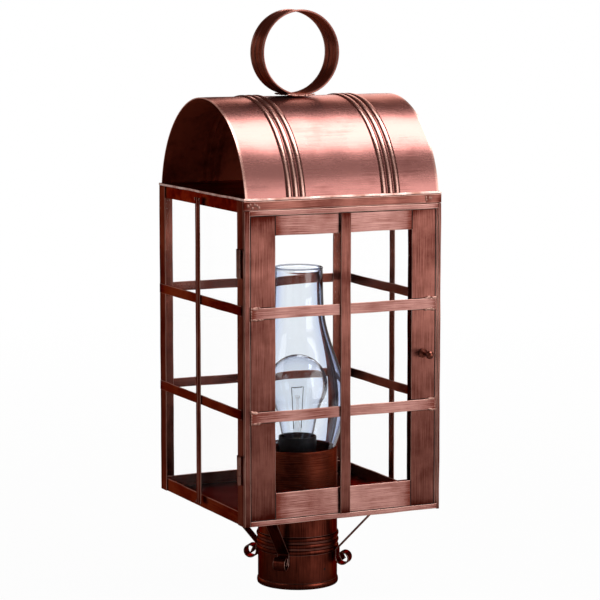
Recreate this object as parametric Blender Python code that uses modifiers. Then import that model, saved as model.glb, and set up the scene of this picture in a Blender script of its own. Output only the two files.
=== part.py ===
"""Post-top copper lantern: a glazed cage with a hinged door, barrel roof, lifting ring and post fitter.

The origin is the centre of the plate that the end of the post bears on. +Z is up and the door faces -Y.
All lengths are in metres.
"""
import math

import bmesh
import bpy
from mathutils import Matrix, Vector

# Fits and sheet
FIT = 0.0003                 # gap kept between pieces that touch
RUNNING_GAP = 0.0004         # gap kept between pieces that move past each other
SHEET = 0.0010               # copper sheet of the cage, fitter, cup and ring
BAR_SHEET = 0.0010           # flat glazing bars
ROUND_STEPS = 36             # facets of the large turned pieces
SMALL_STEPS = 16             # facets of screws, pins and the knob
CURVE_STEPS = 3              # facets along each stretch of a curved profile
BEAD_STEPS = 4               # facets over a raised bead

# Cage
BODY_WIDTH = 0.2100
BODY_DEPTH = 0.2100          # door face to back face
POST_HEIGHT = 0.3117
POST_LEG = 0.0142            # visible width of each corner angle
PAN_DEPTH = 0.0125           # upturned edge of the floor pan and downturned edge of the top pan
RIM_THICK = 0.0022           # thickness of the rounded rim round the top pan
RIM_ROUND = 0.0009
VENT_RADIUS = 0.0300         # hot-air hole in the top pan
HEADER_HEIGHT = 0.0086       # fixed strip above the door
JAMB_WIDTH = 0.0028          # strip that the latch side of the door closes beside

# Glazing bars and glass
BAR_WIDTH = 0.0105
BAR_RIDGE = 0.0006           # how far the ridge of an upright stands above its edges
UPPER_BAR_DROP = 0.1067      # middle of the door's upper crossbar below the posts' tops
LOWER_BAR_Z = 0.1055         # middle of its lower crossbar above the cage's underside
SIDE_BAR_WIDTH = 0.0095
SIDE_BAR_LIFT = 0.0028       # crossbars of the other sides sit this much higher than those of the door
BAR_END_INSET = 0.0030       # crossbar ends stop this far from the cage's corners
UPRIGHT_INSET = 0.0040       # upright ends stop this far from the cage's top and bottom
GLASS_THICK = 0.0020
GLASS_EDGE = 0.0055          # how far the side panes stop short of the cage's corners

# Door
DOOR_THICK = 0.0026
HINGE_EDGE = 0.0058          # folded edge on the hinge side of the door
LATCH_EDGE = 0.0024          # folded edge on the latch side of the door
DOOR_CAP = 0.0050            # folded edges along the top and bottom of the door
STILE_WIDTH = 0.0260
TOP_RAIL = 0.0190
BOTTOM_RAIL = 0.0254
DOOR_PANE_LAP = 0.0070       # how far the door's pane laps behind its stiles and rails
STILE_SETBACK = 0.0003       # stiles lie this much behind the folded edges

# Knob and latch
KNOB_HEIGHT = 0.1565         # above the cage's underside
KNOB_INSET = 0.0124          # from the inner edge of the latch stile
SPINDLE_RADIUS = 0.0020
COLLAR_RADIUS = 0.0046
COLLAR_LENGTH = 0.0018
KNOB_STEM = 0.0085           # from the collar to the head
KNOB_RADIUS = 0.0041
KNOB_LENGTH = 0.0080
KNOB_BALL_END = -60.0        # degrees, where the ball of the knob meets its stem
TONGUE_LENGTH = 0.0115
TONGUE_WIDTH = 0.0070
TONGUE_THICK = 0.0015

# Hinges
HINGE_HEIGHT = 0.0270
UPPER_HINGE_DROP = 0.0592    # middle of the upper hinge below the posts' tops
LOWER_HINGE_Z = 0.0545       # middle of the lower hinge above the cage's underside
KNUCKLE_RADIUS = 0.0022
KNUCKLE_SEAT = 0.0002        # knuckle stands off the face that the leaf lies on
PIN_RADIUS = 0.0011
PIN_HEAD_RADIUS = 0.0019
PIN_HEAD_HEIGHT = 0.0009
HINGE_SETBACK = 0.0065       # hinge axis behind the door's face
LEAF_LENGTH = 0.0080         # leaf soldered to the corner post
LEAF_SHEET = 0.0010

# Roof and ring
ROOF_INSET = 0.0020          # the roof stands this far in from the rim's edges
ROOF_RISE = 0.0905
ROOF_SHEET = 0.0010
ROOF_STEPS = 28
BEAD_WIDTH = 0.0050          # raised round beads of the roof and the fitter
BEAD_HEIGHT = 0.0015
BEADS_PER_GROUP = 3
ROOF_BEAD_PITCH = 0.0071
BEAD_GROUP_X = 0.0505        # middle of each group of roof beads from the middle of the roof
RING_RADIUS = 0.0414
RING_OFFSET = -0.0029        # the ring sits a little to the left of the roof's middle
RING_WIDTH = 0.0302
RING_HEM = 0.0030            # rolled edge along each side of the ring
RING_HEM_PROUD = 0.0006

# Post fitter
POST_RADIUS = 0.0381         # a 3 inch lamp post
POST_FIT = 0.0009            # room round the post in the fitter
POST_STOP_THICK = 0.0012
FITTER_LENGTH = 0.0850
FITTER_BEAD_DROP = 0.0410    # middle bead below the cage's underside
FITTER_BEAD_PITCH = 0.0065
FITTER_HEM = 0.0060          # rolled lower edge
FITTER_HEM_PROUD = 0.0010
PILOT_COUNT = 3              # holes for the screws that hold the fitter on its post
PILOT_RADIUS = 0.0012
PILOT_DROP = 0.0660          # below the cage's underside
PILOT_TURN = 17.0            # degrees from the door side round to the first hole
STRUT_WIDTH = 0.0125
STRUT_SHEET = 0.0012
STRUT_TOUCH = 0.0480         # where a strap meets the fitter, below the cage's underside
STRUT_INSET = 0.0190         # strap's upper bend inside the cage's half width
STRUT_TOE = 0.0120           # tab that lies under the floor
SCROLL_RADIUS = 0.0069       # turn of the scroll where it leaves the fitter
SCROLL_TIGHTEN = 0.0013      # how much smaller the turn gets by its end
SCROLL_SWEEP = 310.0         # degrees
SCROLL_STEPS = 12
SCROLL_DROP = 0.0565         # middle of the scroll below the cage's underside
SCROLL_TAIL = 0.0025         # the strap's end below the middle of the scroll
WIRE_HOLE_RADIUS = 0.0048
WIRE_HOLE_OFFSET = 0.0290
GROMMET_FLANGE = 0.0015
GROMMET_BORE = 0.0030

# Lamp
CUP_RADIUS = 0.0393
CUP_HEIGHT = 0.0538
GALLERY_Z = 0.0385           # underside of the ledge that carries the chimney
GALLERY_THICK = 0.0012
GALLERY_GAP = 0.0050         # air gap round the socket inside the ledge
SOCKET_WALL = 0.0017
SOCKET_TOP = 0.0646          # above the cage's underside
SOCKET_MOUTH_ROOM = 0.0015   # room round the bulb's neck in the socket's mouth
SOCKET_MOUTH_DEPTH = 0.0105
SOCKET_BORE_DEPTH = 0.0330
THREAD_RADIUS = 0.0131       # outside of the bulb's screw base
THREAD_SHEET = 0.0008
CONTACT_RADIUS = 0.0050
CONTACT_HEIGHT = 0.0020
CHIMNEY_WALL = 0.0022
CHIMNEY_FIT = 0.0009         # room round the chimney's foot in the cup
CHIMNEY_FOOT_HEIGHT = 0.0145
CHIMNEY_BELLY_RADIUS = 0.0490
CHIMNEY_BELLY_Z = 0.0600     # above the chimney's foot
CHIMNEY_WAIST_RADIUS = 0.0265
CHIMNEY_WAIST_Z = 0.1480
CHIMNEY_TOP_RADIUS = 0.0250
CHIMNEY_HEIGHT = 0.1950
BULB_RADIUS = 0.0300
BULB_TOP = 0.0814            # bulb top above the socket top
BULB_WALL = 0.0008
BULB_CROWN_END = -35.0       # degrees, where the round crown runs into the neck
NECK_RADIUS = 0.0158         # bulb neck where it enters the socket
NECK_SWELL = 0.0024          # how much wider the neck is a little above that
NECK_SWELL_Z = 0.0118
NECK_DEPTH = 0.0110          # bulb neck below the socket top
NECK_STRAIGHT = 0.0033       # straight end of the neck inside the base
BASE_LAP = 0.0033            # base rim above the floor of the socket's mouth
STEM_RADIUS = 0.0036
STEM_HEIGHT = 0.0248
ROD_RADIUS = 0.0012
ROD_HEIGHT = 0.0257
BUTTON_RADIUS = 0.0024
WIRE_RADIUS = 0.0004
FILAMENT_SPAN = 0.0130
FILAMENT_RISE = 0.0378
FILAMENT_WAVES = 4

# Places worked out from the sizes above
BODY_Z = POST_STOP_THICK + FIT
HALF = BODY_WIDTH / 2
DOOR_FACE = -BODY_DEPTH / 2
BACK = BODY_DEPTH / 2
DOOR_BACK = DOOR_FACE + DOOR_THICK
CAGE_FRONT = DOOR_BACK + RUNNING_GAP
POST_TOP = BODY_Z + POST_HEIGHT
RIM_BOTTOM = POST_TOP + FIT
RIM_TOP = RIM_BOTTOM + RIM_THICK
PAN_SIDE = HALF - SHEET - FIT
PAN_FRONT = CAGE_FRONT + SHEET + FIT
PAN_BACK = BACK - SHEET - FIT
FLOOR_TOP = BODY_Z + SHEET
HEADER_BOTTOM = POST_TOP - HEADER_HEIGHT
DOOR_BOTTOM = BODY_Z + RUNNING_GAP
DOOR_TOP = HEADER_BOTTOM - RUNNING_GAP
DOOR_LEFT = -HALF
JAMB_X = HALF - JAMB_WIDTH
DOOR_RIGHT = JAMB_X - RUNNING_GAP
STILE_FRONT = DOOR_FACE + STILE_SETBACK
STILE_BACK = STILE_FRONT + SHEET
LEFT_STILE_X = DOOR_LEFT + HINGE_EDGE + FIT
RIGHT_STILE_X = DOOR_RIGHT - LATCH_EDGE - FIT
LIGHT_LEFT = LEFT_STILE_X + STILE_WIDTH
LIGHT_RIGHT = RIGHT_STILE_X - STILE_WIDTH
STILE_BOTTOM = DOOR_BOTTOM + DOOR_CAP + FIT
STILE_TOP = DOOR_TOP - DOOR_CAP - FIT
LIGHT_BOTTOM = STILE_BOTTOM + BOTTOM_RAIL
LIGHT_TOP = STILE_TOP - TOP_RAIL
CENTRE_X = (LIGHT_LEFT + LIGHT_RIGHT) / 2
KNOB_X = LIGHT_RIGHT + KNOB_INSET
KNOB_Z = BODY_Z + KNOB_HEIGHT
HINGE_Y = DOOR_FACE + HINGE_SETBACK
HINGE_X = -HALF - FIT - KNUCKLE_SEAT - KNUCKLE_RADIUS
FITTER_BORE = POST_RADIUS + POST_FIT
FITTER_RADIUS = FITTER_BORE + SHEET
SOCKET_MOUTH_RADIUS = NECK_RADIUS + SOCKET_MOUTH_ROOM
SOCKET_RADIUS = SOCKET_MOUTH_RADIUS + SOCKET_WALL
CUP_INSIDE = CUP_RADIUS - SHEET
GALLERY_TOP = BODY_Z + GALLERY_Z + GALLERY_THICK
CHIMNEY_FOOT_RADIUS = CUP_INSIDE - CHIMNEY_FIT
NECK_END_RADIUS = THREAD_RADIUS - THREAD_SHEET - FIT
CHIMNEY_FOOT_Z = GALLERY_TOP + FIT
SOCKET_TOP_Z = BODY_Z + SOCKET_TOP
UPPER_BAR_Z = POST_HEIGHT - UPPER_BAR_DROP
UPPER_HINGE_Z = POST_HEIGHT - UPPER_HINGE_DROP
STRUT_REACH = (BODY_WIDTH + BODY_DEPTH) / 4 - STRUT_INSET
SOCKET_BORE_FLOOR = SOCKET_TOP_Z - SOCKET_MOUTH_DEPTH - SOCKET_BORE_DEPTH
CORNERS = {"front_left": (-1, -1), "front_right": (1, -1), "back_left": (-1, 1), "back_right": (1, 1)}


def clear_scene():
    """Remove every object that the scene holds."""
    for item in list(bpy.data.objects):
        bpy.data.objects.remove(item, do_unlink=True)


def new_collection(name):
    """Make a collection under the scene's own."""
    collection = bpy.data.collections.new(name)
    bpy.context.scene.collection.children.link(collection)
    return collection


def make_material(name, colour, roughness, metallic, alpha=1.0):
    """Make a Principled material."""
    material = bpy.data.materials.new(name)
    material.use_nodes = True
    shader = material.node_tree.nodes["Principled BSDF"]
    shader.inputs["Base Color"].default_value = (*colour, 1.0)
    shader.inputs["Roughness"].default_value = roughness
    shader.inputs["Metallic"].default_value = metallic
    shader.inputs["Alpha"].default_value = alpha
    return material


clear_scene()
PARTS = new_collection("post_lantern")
CUTTERS = new_collection("cutters")
COPPER = make_material("brushed_copper", (0.36, 0.13, 0.09), 0.35, 1.0)
DARK_COPPER = make_material("dark_copper", (0.20, 0.05, 0.03), 0.45, 1.0)
BRASS = make_material("yellow_brass", (0.70, 0.52, 0.25), 0.35, 1.0)
PANE_GLASS = make_material("pane_glass", (0.95, 0.97, 0.97), 0.02, 0.0, 0.2)
CHIMNEY_GLASS = make_material("chimney_glass", (0.85, 0.90, 0.97), 0.02, 0.0, 0.3)
BULB_GLASS = make_material("bulb_glass", (0.93, 0.95, 0.97), 0.02, 0.0, 0.3)
PHENOLIC = make_material("black_phenolic", (0.01, 0.01, 0.012), 0.4, 0.0)
TUNGSTEN = make_material("tungsten", (0.30, 0.30, 0.32), 0.4, 1.0)
RUBBER = make_material("black_rubber", (0.02, 0.02, 0.02), 0.8, 0.0)


def add_object(name, data, material, parent=None):
    """Link an object into the lantern and give it its finish."""
    item = bpy.data.objects.new(name, data)
    PARTS.objects.link(item)
    data.materials.append(material)
    if parent:
        item.parent = parent
    return item


def add_axis(name, place, turn=None):
    """Make the empty that marks a joint's axis."""
    empty = bpy.data.objects.new(name, None)
    PARTS.objects.link(empty)
    empty.empty_display_size = 0.02
    empty.matrix_world = Matrix.Translation(place) @ (turn or Matrix())
    return empty


def local_place(item, place):
    """Set a piece's location from world coordinates, also under an unturned axis empty."""
    origin = item.parent.matrix_world.translation if item.parent else Vector()
    item.location = Vector(place) - origin


def box_mesh(name, size):
    """A closed block centred on its own origin."""
    mesh = bpy.data.meshes.new(name)
    shape = bmesh.new()
    bmesh.ops.create_cube(shape, size=1.0)
    bmesh.ops.scale(shape, vec=size, verts=shape.verts)
    shape.to_mesh(mesh)
    shape.free()
    return mesh


def add_block(name, low, high, material, parent=None, round_edge=0.0):
    """A block between two corners, with an optional rounded edge."""
    low = Vector(low)
    high = Vector(high)
    item = add_object(name, box_mesh(name, high - low), material, parent)
    local_place(item, (low + high) / 2)
    if round_edge:
        bevel = item.modifiers.new("round_edge", "BEVEL")
        bevel.width = round_edge
        bevel.segments = 2
    return item


def add_prism(name, outline, thickness, material, matrix, parent=None):
    """A flat outline drawn as a filled 2D curve, extruded both ways from its plane."""
    curve = bpy.data.curves.new(name, "CURVE")
    curve.dimensions = "2D"
    curve.fill_mode = "BOTH"
    curve.extrude = thickness / 2
    spline = curve.splines.new("POLY")
    spline.points.add(len(outline) - 1)
    for point, (x, y) in zip(spline.points, outline):
        point.co = (x, y, 0.0, 1.0)
    spline.use_cyclic_u = True
    item = add_object(name, curve, material, parent)
    item.matrix_basis = matrix
    return item


def as_mesh(item):
    """Turn a curve object into a welded mesh object of the same name, so that it can be cut."""
    bpy.context.view_layer.update()
    ready = item.evaluated_get(bpy.context.evaluated_depsgraph_get())
    mesh = bpy.data.meshes.new_from_object(ready)
    shape = bmesh.new()
    shape.from_mesh(mesh)
    bmesh.ops.remove_doubles(shape, verts=shape.verts, dist=1e-6)
    bmesh.ops.recalc_face_normals(shape, faces=shape.faces)
    shape.to_mesh(mesh)
    shape.free()
    name = item.name
    parent = item.parent
    matrix = item.matrix_basis.copy()
    bpy.data.objects.remove(item, do_unlink=True)
    solid = bpy.data.objects.new(name, mesh)
    PARTS.objects.link(solid)
    solid.parent = parent
    solid.matrix_basis = matrix
    return solid


def line_mesh(name, points, closed):
    """A chain of edges, the profile that a Screw modifier turns."""
    count = len(points)
    edges = [(i, i + 1) for i in range(count - 1)]
    if closed:
        edges.append((count - 1, 0))
    mesh = bpy.data.meshes.new(name)
    mesh.from_pydata(points, edges, [])
    return mesh


def turn_profile(item, axis, steps, angle=2 * math.pi):
    """Turn a profile round an axis with a Screw modifier."""
    screw = item.modifiers.new("turn", "SCREW")
    screw.axis = axis
    screw.angle = angle
    screw.steps = steps
    screw.render_steps = steps
    screw.use_merge_vertices = True
    screw.merge_threshold = 1e-6
    screw.use_smooth_shade = True
    return screw


def add_turned(name, profile, material, parent=None, closed=True, steps=ROUND_STEPS):
    """A turned piece: (radius, height) points down the outer side and, if closed, up the inner one."""
    points = [(radius, 0.0, height) for radius, height in profile]
    item = add_object(name, line_mesh(name, points, closed), material, parent)
    turn_profile(item, "Z", steps)
    return item


def add_cutter(name, mesh, matrix):
    """A hidden solid that other pieces are cut by or joined with."""
    item = bpy.data.objects.new(name, mesh)
    CUTTERS.objects.link(item)
    item.matrix_world = matrix
    item.hide_render = True
    item.display_type = "WIRE"
    return item


def rod_mesh(name, radius, length, steps=SMALL_STEPS):
    """A closed cylinder along Z, centred on its own origin."""
    mesh = bpy.data.meshes.new(name)
    shape = bmesh.new()
    bmesh.ops.create_cone(shape, cap_ends=True, segments=steps, radius1=radius, radius2=radius, depth=length)
    shape.to_mesh(mesh)
    shape.free()
    return mesh


def combine(item, other, operation):
    """Cut a piece by another solid, or join them into one body."""
    boolean = item.modifiers.new(operation.lower(), "BOOLEAN")
    boolean.operation = operation
    boolean.solver = "EXACT"
    boolean.object = other


def join_block(item, name, low, high):
    """Join a block between two corners to a piece."""
    low = Vector(low)
    high = Vector(high)
    combine(item, add_cutter(name, box_mesh(name, high - low), Matrix.Translation((low + high) / 2)), "UNION")


def arc_points(centre, radius, start, end, count):
    """Points along an arc, angles in degrees."""
    points = []
    for step in range(count + 1):
        angle = math.radians(start + (end - start) * step / count)
        points.append((centre[0] + radius * math.cos(angle), centre[1] + radius * math.sin(angle)))
    return points


def bead_points(middle, width, base):
    """Points over one raised round bead: (distance along, distance out)."""
    points = []
    for step in range(BEAD_STEPS + 1):
        share = step / BEAD_STEPS
        points.append((middle + width * (share - 0.5), base + BEAD_HEIGHT * math.sin(math.pi * share)))
    return points


def smooth_through(stations, steps):
    """A Catmull-Rom curve through hand-set (radius, height) stations."""
    ends = [stations[0]] + list(stations) + [stations[-1]]
    points = []
    for i in range(len(stations) - 1):
        p0, p1, p2, p3 = (Vector(p) for p in ends[i:i + 4])
        for step in range(steps):
            t = step / steps
            a = 2 * p1
            b = p2 - p0
            c = 2 * p0 - 5 * p1 + 4 * p2 - p3
            d = 3 * p1 - p0 - 3 * p2 + p3
            points.append(tuple((a + b * t + c * t * t + d * t ** 3) / 2))
    points.append(tuple(stations[-1]))
    return points


def strip_outline(points, thickness):
    """The outline of a bent strip: its centre line moved half a thickness to both sides."""
    centre = [Vector(p) for p in points]
    sides = ([], [])
    for i, here in enumerate(centre):
        before = (here - centre[i - 1]).normalized() if i else (centre[1] - here).normalized()
        after = (centre[i + 1] - here).normalized() if i + 1 < len(centre) else before
        across = Vector((-before.y - after.y, before.x + after.x)).normalized()
        reach = thickness / 2 / across.dot(Vector((-after.y, after.x)))
        sides[0].append(here + across * reach)
        sides[1].append(here - across * reach)
    return [tuple(p) for p in sides[0] + sides[1][::-1]]


def add_floor_pan():
    """The floor: a tray of sheet with its edges turned up inside the corner posts."""
    size = Vector((2 * PAN_SIDE, PAN_BACK - PAN_FRONT, PAN_DEPTH))
    mesh = box_mesh("floor_pan", size)
    shape = bmesh.new()
    shape.from_mesh(mesh)
    lid = [face for face in shape.faces if face.normal.z > 0.5]
    bmesh.ops.delete(shape, geom=lid, context="FACES_ONLY")
    shape.to_mesh(mesh)
    shape.free()
    pan = add_object("floor_pan", mesh, COPPER)
    pan.location = (0, (PAN_BACK + PAN_FRONT) / 2, BODY_Z + PAN_DEPTH / 2)
    add_wall(pan, SHEET)
    hole = add_cutter("floor_wire_hole", rod_mesh("floor_wire_hole", WIRE_HOLE_RADIUS, PAN_DEPTH),
                      Matrix.Translation((0, WIRE_HOLE_OFFSET, BODY_Z)))
    combine(pan, hole, "DIFFERENCE")
    return pan


def add_wall(item, thickness, side=-1.0):
    """Give an open surface its thickness, behind its faces or, with a side of 1, in front of them."""
    wall = item.modifiers.new("wall", "SOLIDIFY")
    wall.thickness = thickness
    wall.offset = side
    wall.use_even_offset = True


def add_top_pan():
    """The top: a rounded rim plate over the posts, turned down inside them, with a hot-air hole."""
    depth = PAN_DEPTH + FIT
    size = Vector((2 * PAN_SIDE, PAN_BACK - PAN_FRONT, depth))
    mesh = box_mesh("top_pan_tray", size)
    shape = bmesh.new()
    shape.from_mesh(mesh)
    base = [face for face in shape.faces if face.normal.z < -0.5]
    bmesh.ops.delete(shape, geom=base, context="FACES_ONLY")
    shape.to_mesh(mesh)
    shape.free()
    tray = add_cutter("top_pan_tray", mesh,
                      Matrix.Translation((0, (PAN_BACK + PAN_FRONT) / 2, RIM_BOTTOM + SHEET - depth / 2)))
    add_wall(tray, SHEET)
    pan = add_block("top_pan", (-HALF, DOOR_FACE, RIM_BOTTOM), (HALF, BACK, RIM_TOP), COPPER,
                    round_edge=RIM_ROUND)
    combine(pan, tray, "UNION")
    hole = add_cutter("vent_hole", rod_mesh("vent_hole", VENT_RADIUS, 2 * PAN_DEPTH, ROUND_STEPS),
                      Matrix.Translation((0, 0, RIM_TOP)))
    combine(pan, hole, "DIFFERENCE")
    return pan


def add_corner_posts():
    """Four corner angles, each an L of sheet from the cage's underside to its rim."""
    for name, (side, end) in CORNERS.items():
        face = CAGE_FRONT if end < 0 else BACK
        outline = [(0, 0), (POST_LEG, 0), (POST_LEG, SHEET), (SHEET, SHEET), (SHEET, POST_LEG), (0, POST_LEG)]
        mirrored = [(-side * x, -end * y) for x, y in outline]
        add_prism("corner_post_" + name, mirrored, POST_HEIGHT, COPPER,
                  Matrix.Translation((side * HALF, face, BODY_Z + POST_HEIGHT / 2)))


def add_front_fixed():
    """The header strip over the door and the jamb strip beside its latch edge."""
    add_block("front_header", (-HALF, DOOR_FACE, HEADER_BOTTOM), (HALF, CAGE_FRONT - FIT, POST_TOP), COPPER)
    add_block("latch_jamb", (JAMB_X, DOOR_FACE, BODY_Z), (HALF, CAGE_FRONT - FIT, HEADER_BOTTOM - FIT), COPPER)


def ridge_outline(width):
    """Section of an upright bar: flat behind, with a low ridge along the middle of its front."""
    return [(-width / 2, 0), (width / 2, 0), (width / 2, BAR_SHEET), (0, BAR_SHEET + BAR_RIDGE),
            (-width / 2, BAR_SHEET)]


def add_upright(name, place, heading, bottom, top, parent=None):
    """An upright glazing bar. Its ridge faces the way that the heading, in degrees, points."""
    turn = Matrix.Rotation(math.radians(heading - 90), 4, "Z")
    middle = Vector((place[0], place[1], (bottom + top) / 2))
    if parent:
        middle -= parent.matrix_world.translation
    return add_prism(name, ridge_outline(BAR_WIDTH), top - bottom, COPPER, Matrix.Translation(middle) @ turn, parent)


def add_side_bars():
    """Two crossbars on the posts of each glazed side, with an upright over them."""
    middle_y = (CAGE_FRONT + BACK) / 2
    rows = {"upper": UPPER_BAR_Z + SIDE_BAR_LIFT, "lower": LOWER_BAR_Z + SIDE_BAR_LIFT}
    inner = HALF + FIT
    outer = inner + BAR_SHEET
    for row, height in rows.items():
        low = BODY_Z + height - SIDE_BAR_WIDTH / 2
        high = low + SIDE_BAR_WIDTH
        for side_name, side in (("left", -1), ("right", 1)):
            xs = sorted((side * inner, side * outer))
            add_block(f"{side_name}_{row}_crossbar", (xs[0], CAGE_FRONT + BAR_END_INSET, low),
                      (xs[1], BACK - BAR_END_INSET, high), COPPER)
        add_block(f"back_{row}_crossbar", (-HALF + BAR_END_INSET, BACK + FIT, low),
                  (HALF - BAR_END_INSET, BACK + FIT + BAR_SHEET, high), COPPER)
    bottom = BODY_Z + UPRIGHT_INSET
    top = POST_TOP - UPRIGHT_INSET
    seat = outer + FIT
    add_upright("left_upright", (-seat, middle_y), 180, bottom, top)
    add_upright("right_upright", (seat, middle_y), 0, bottom, top)
    add_upright("back_upright", (0, BACK + FIT + BAR_SHEET + FIT), 90, bottom, top)


def add_side_glass():
    """Clear panes inside the posts and the turned edges of the two pans."""
    outer = PAN_SIDE - SHEET - FIT
    inner = outer - GLASS_THICK
    bottom = FLOOR_TOP + FIT
    top = RIM_BOTTOM - FIT
    for name, side in (("left_glass", -1), ("right_glass", 1)):
        xs = sorted((side * inner, side * outer))
        add_block(name, (xs[0], CAGE_FRONT + GLASS_EDGE, bottom), (xs[1], BACK - GLASS_EDGE, top), PANE_GLASS)
    pane_back = PAN_BACK - SHEET - FIT
    add_block("back_glass", (-inner + FIT, pane_back - GLASS_THICK, bottom), (inner - FIT, pane_back, top), PANE_GLASS)


def add_roof():
    """The roof: a bowed sheet with two groups of raised beads, open at both ends."""
    half_chord = BACK - ROOF_INSET
    half_length = HALF - ROOF_INSET
    radius = (half_chord ** 2 + ROOF_RISE ** 2) / (2 * ROOF_RISE)
    half_angle = math.acos((radius - ROOF_RISE) / radius)
    profile = [(-half_length, radius)]
    first = -(BEADS_PER_GROUP - 1) / 2
    for group in (-BEAD_GROUP_X, BEAD_GROUP_X):
        for index in range(BEADS_PER_GROUP):
            profile += bead_points(group + (first + index) * ROOF_BEAD_PITCH, BEAD_WIDTH, radius)
    profile.append((half_length, radius))
    points = [(along, 0.0, out) for along, out in profile]
    roof = add_object("roof_barrel", line_mesh("roof_barrel", points, False), COPPER)
    turn_profile(roof, "X", ROOF_STEPS, 2 * half_angle)
    add_wall(roof, ROOF_SHEET, side=1.0)
    roof.location = (0, 0, RIM_TOP + FIT + ROOF_RISE - radius)
    roof.rotation_euler = (-half_angle, 0, 0)
    return roof


def add_ring():
    """The lifting ring: an upright band with a rolled hem along each edge, soldered to the ridge."""
    half = RING_WIDTH / 2
    inner = RING_RADIUS - SHEET
    outer = RING_RADIUS
    proud = RING_HEM_PROUD
    profile = [(outer, half), (outer + proud, half - RING_HEM / 2), (outer, half - RING_HEM),
               (outer, RING_HEM - half), (outer + proud, RING_HEM / 2 - half), (outer, -half),
               (inner, -half), (inner, half)]
    ring = add_turned("ring_handle", profile, COPPER)
    ring.rotation_euler = (math.pi / 2, 0, 0)
    ring.location = (RING_OFFSET, 0, RIM_TOP + FIT + ROOF_RISE + FIT + proud + outer)
    return ring


def corner_turn(corner):
    """Turn about Z that brings +X round to a corner of the cage."""
    side, end = corner
    return Matrix.Rotation(math.atan2(end, side), 4, "Z")


def add_fitter():
    """The post fitter: a beaded tube with a rolled lower edge and pilot holes for its fixing screws."""
    top = BODY_Z - FIT
    bottom = BODY_Z - FITTER_LENGTH
    profile = [(FITTER_RADIUS, top)]
    for index in (-1, 0, 1):
        middle = BODY_Z - FITTER_BEAD_DROP - index * FITTER_BEAD_PITCH
        profile += [(out, along) for along, out in bead_points(middle, -BEAD_WIDTH, FITTER_RADIUS)]
    profile += [(FITTER_RADIUS, bottom + FITTER_HEM)]
    profile += [(FITTER_RADIUS + FITTER_HEM_PROUD, bottom + FITTER_HEM - FITTER_HEM_PROUD),
                (FITTER_RADIUS + FITTER_HEM_PROUD, bottom), (FITTER_BORE, bottom), (FITTER_BORE, top)]
    fitter = add_turned("fitter_tube", profile, COPPER)
    for index in range(PILOT_COUNT):
        turn = Matrix.Rotation(math.radians(PILOT_TURN + index * 360 / PILOT_COUNT), 4, "Z")
        place = Matrix.Translation((0, 0, BODY_Z - PILOT_DROP)) @ turn @ Matrix.Translation((0, -FITTER_BORE, 0))
        hole = add_cutter(f"pilot_hole_{index}", rod_mesh(f"pilot_hole_{index}", PILOT_RADIUS, 4 * SHEET),
                          place @ Matrix.Rotation(math.pi / 2, 4, "X"))
        combine(fitter, hole, "DIFFERENCE")
    return fitter


def add_post_stop():
    """The doubler plate under the floor that the end of the post bears on, with the wire hole."""
    edge = FITTER_BORE - 2 * FIT
    stop = add_turned("post_stop", [(0, POST_STOP_THICK), (edge, POST_STOP_THICK), (edge, 0), (0, 0)], COPPER,
                      closed=False)
    hole = add_cutter("stop_wire_hole", rod_mesh("stop_wire_hole", WIRE_HOLE_RADIUS, 4 * POST_STOP_THICK),
                      Matrix.Translation((0, WIRE_HOLE_OFFSET, POST_STOP_THICK / 2)))
    combine(stop, hole, "DIFFERENCE")
    sleeve = WIRE_HOLE_RADIUS - FIT
    flange = FLOOR_TOP + FIT
    profile = [(sleeve + GROMMET_FLANGE, flange + GROMMET_FLANGE), (sleeve + GROMMET_FLANGE, flange),
               (sleeve, flange), (sleeve, 0), (GROMMET_BORE, 0), (GROMMET_BORE, flange + GROMMET_FLANGE)]
    grommet = add_turned("wire_grommet", profile, RUBBER, steps=SMALL_STEPS)
    grommet.location = (0, WIRE_HOLE_OFFSET, 0)


def scroll_line(middle):
    """Centre line of a strap's lower end: a turn that tightens, then a tail towards its middle."""
    points = []
    for step in range(SCROLL_STEPS + 1):
        share = step / SCROLL_STEPS
        angle = math.pi + math.radians(SCROLL_SWEEP) * share
        radius = SCROLL_RADIUS - SCROLL_TIGHTEN * share
        points.append((middle[0] + radius * math.cos(angle), middle[1] + radius * math.sin(angle)))
    return points + [(middle[0], middle[1] - SCROLL_TAIL)]


def add_struts():
    """Four flat straps from under the floor down to the fitter, each ending in an outward scroll."""
    touch = FITTER_RADIUS + BEAD_HEIGHT + FIT + STRUT_SHEET / 2
    floor_under = BODY_Z - FIT - STRUT_SHEET / 2
    line = [(STRUT_REACH + STRUT_TOE, floor_under), (STRUT_REACH, floor_under), (touch, BODY_Z - STRUT_TOUCH)]
    line += scroll_line((touch + SCROLL_RADIUS, BODY_Z - SCROLL_DROP))
    for name, corner in CORNERS.items():
        stand = corner_turn(corner) @ Matrix.Rotation(math.pi / 2, 4, "X")
        add_prism("strut_" + name, strip_outline(line, STRUT_SHEET), STRUT_WIDTH, COPPER, stand)


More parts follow.
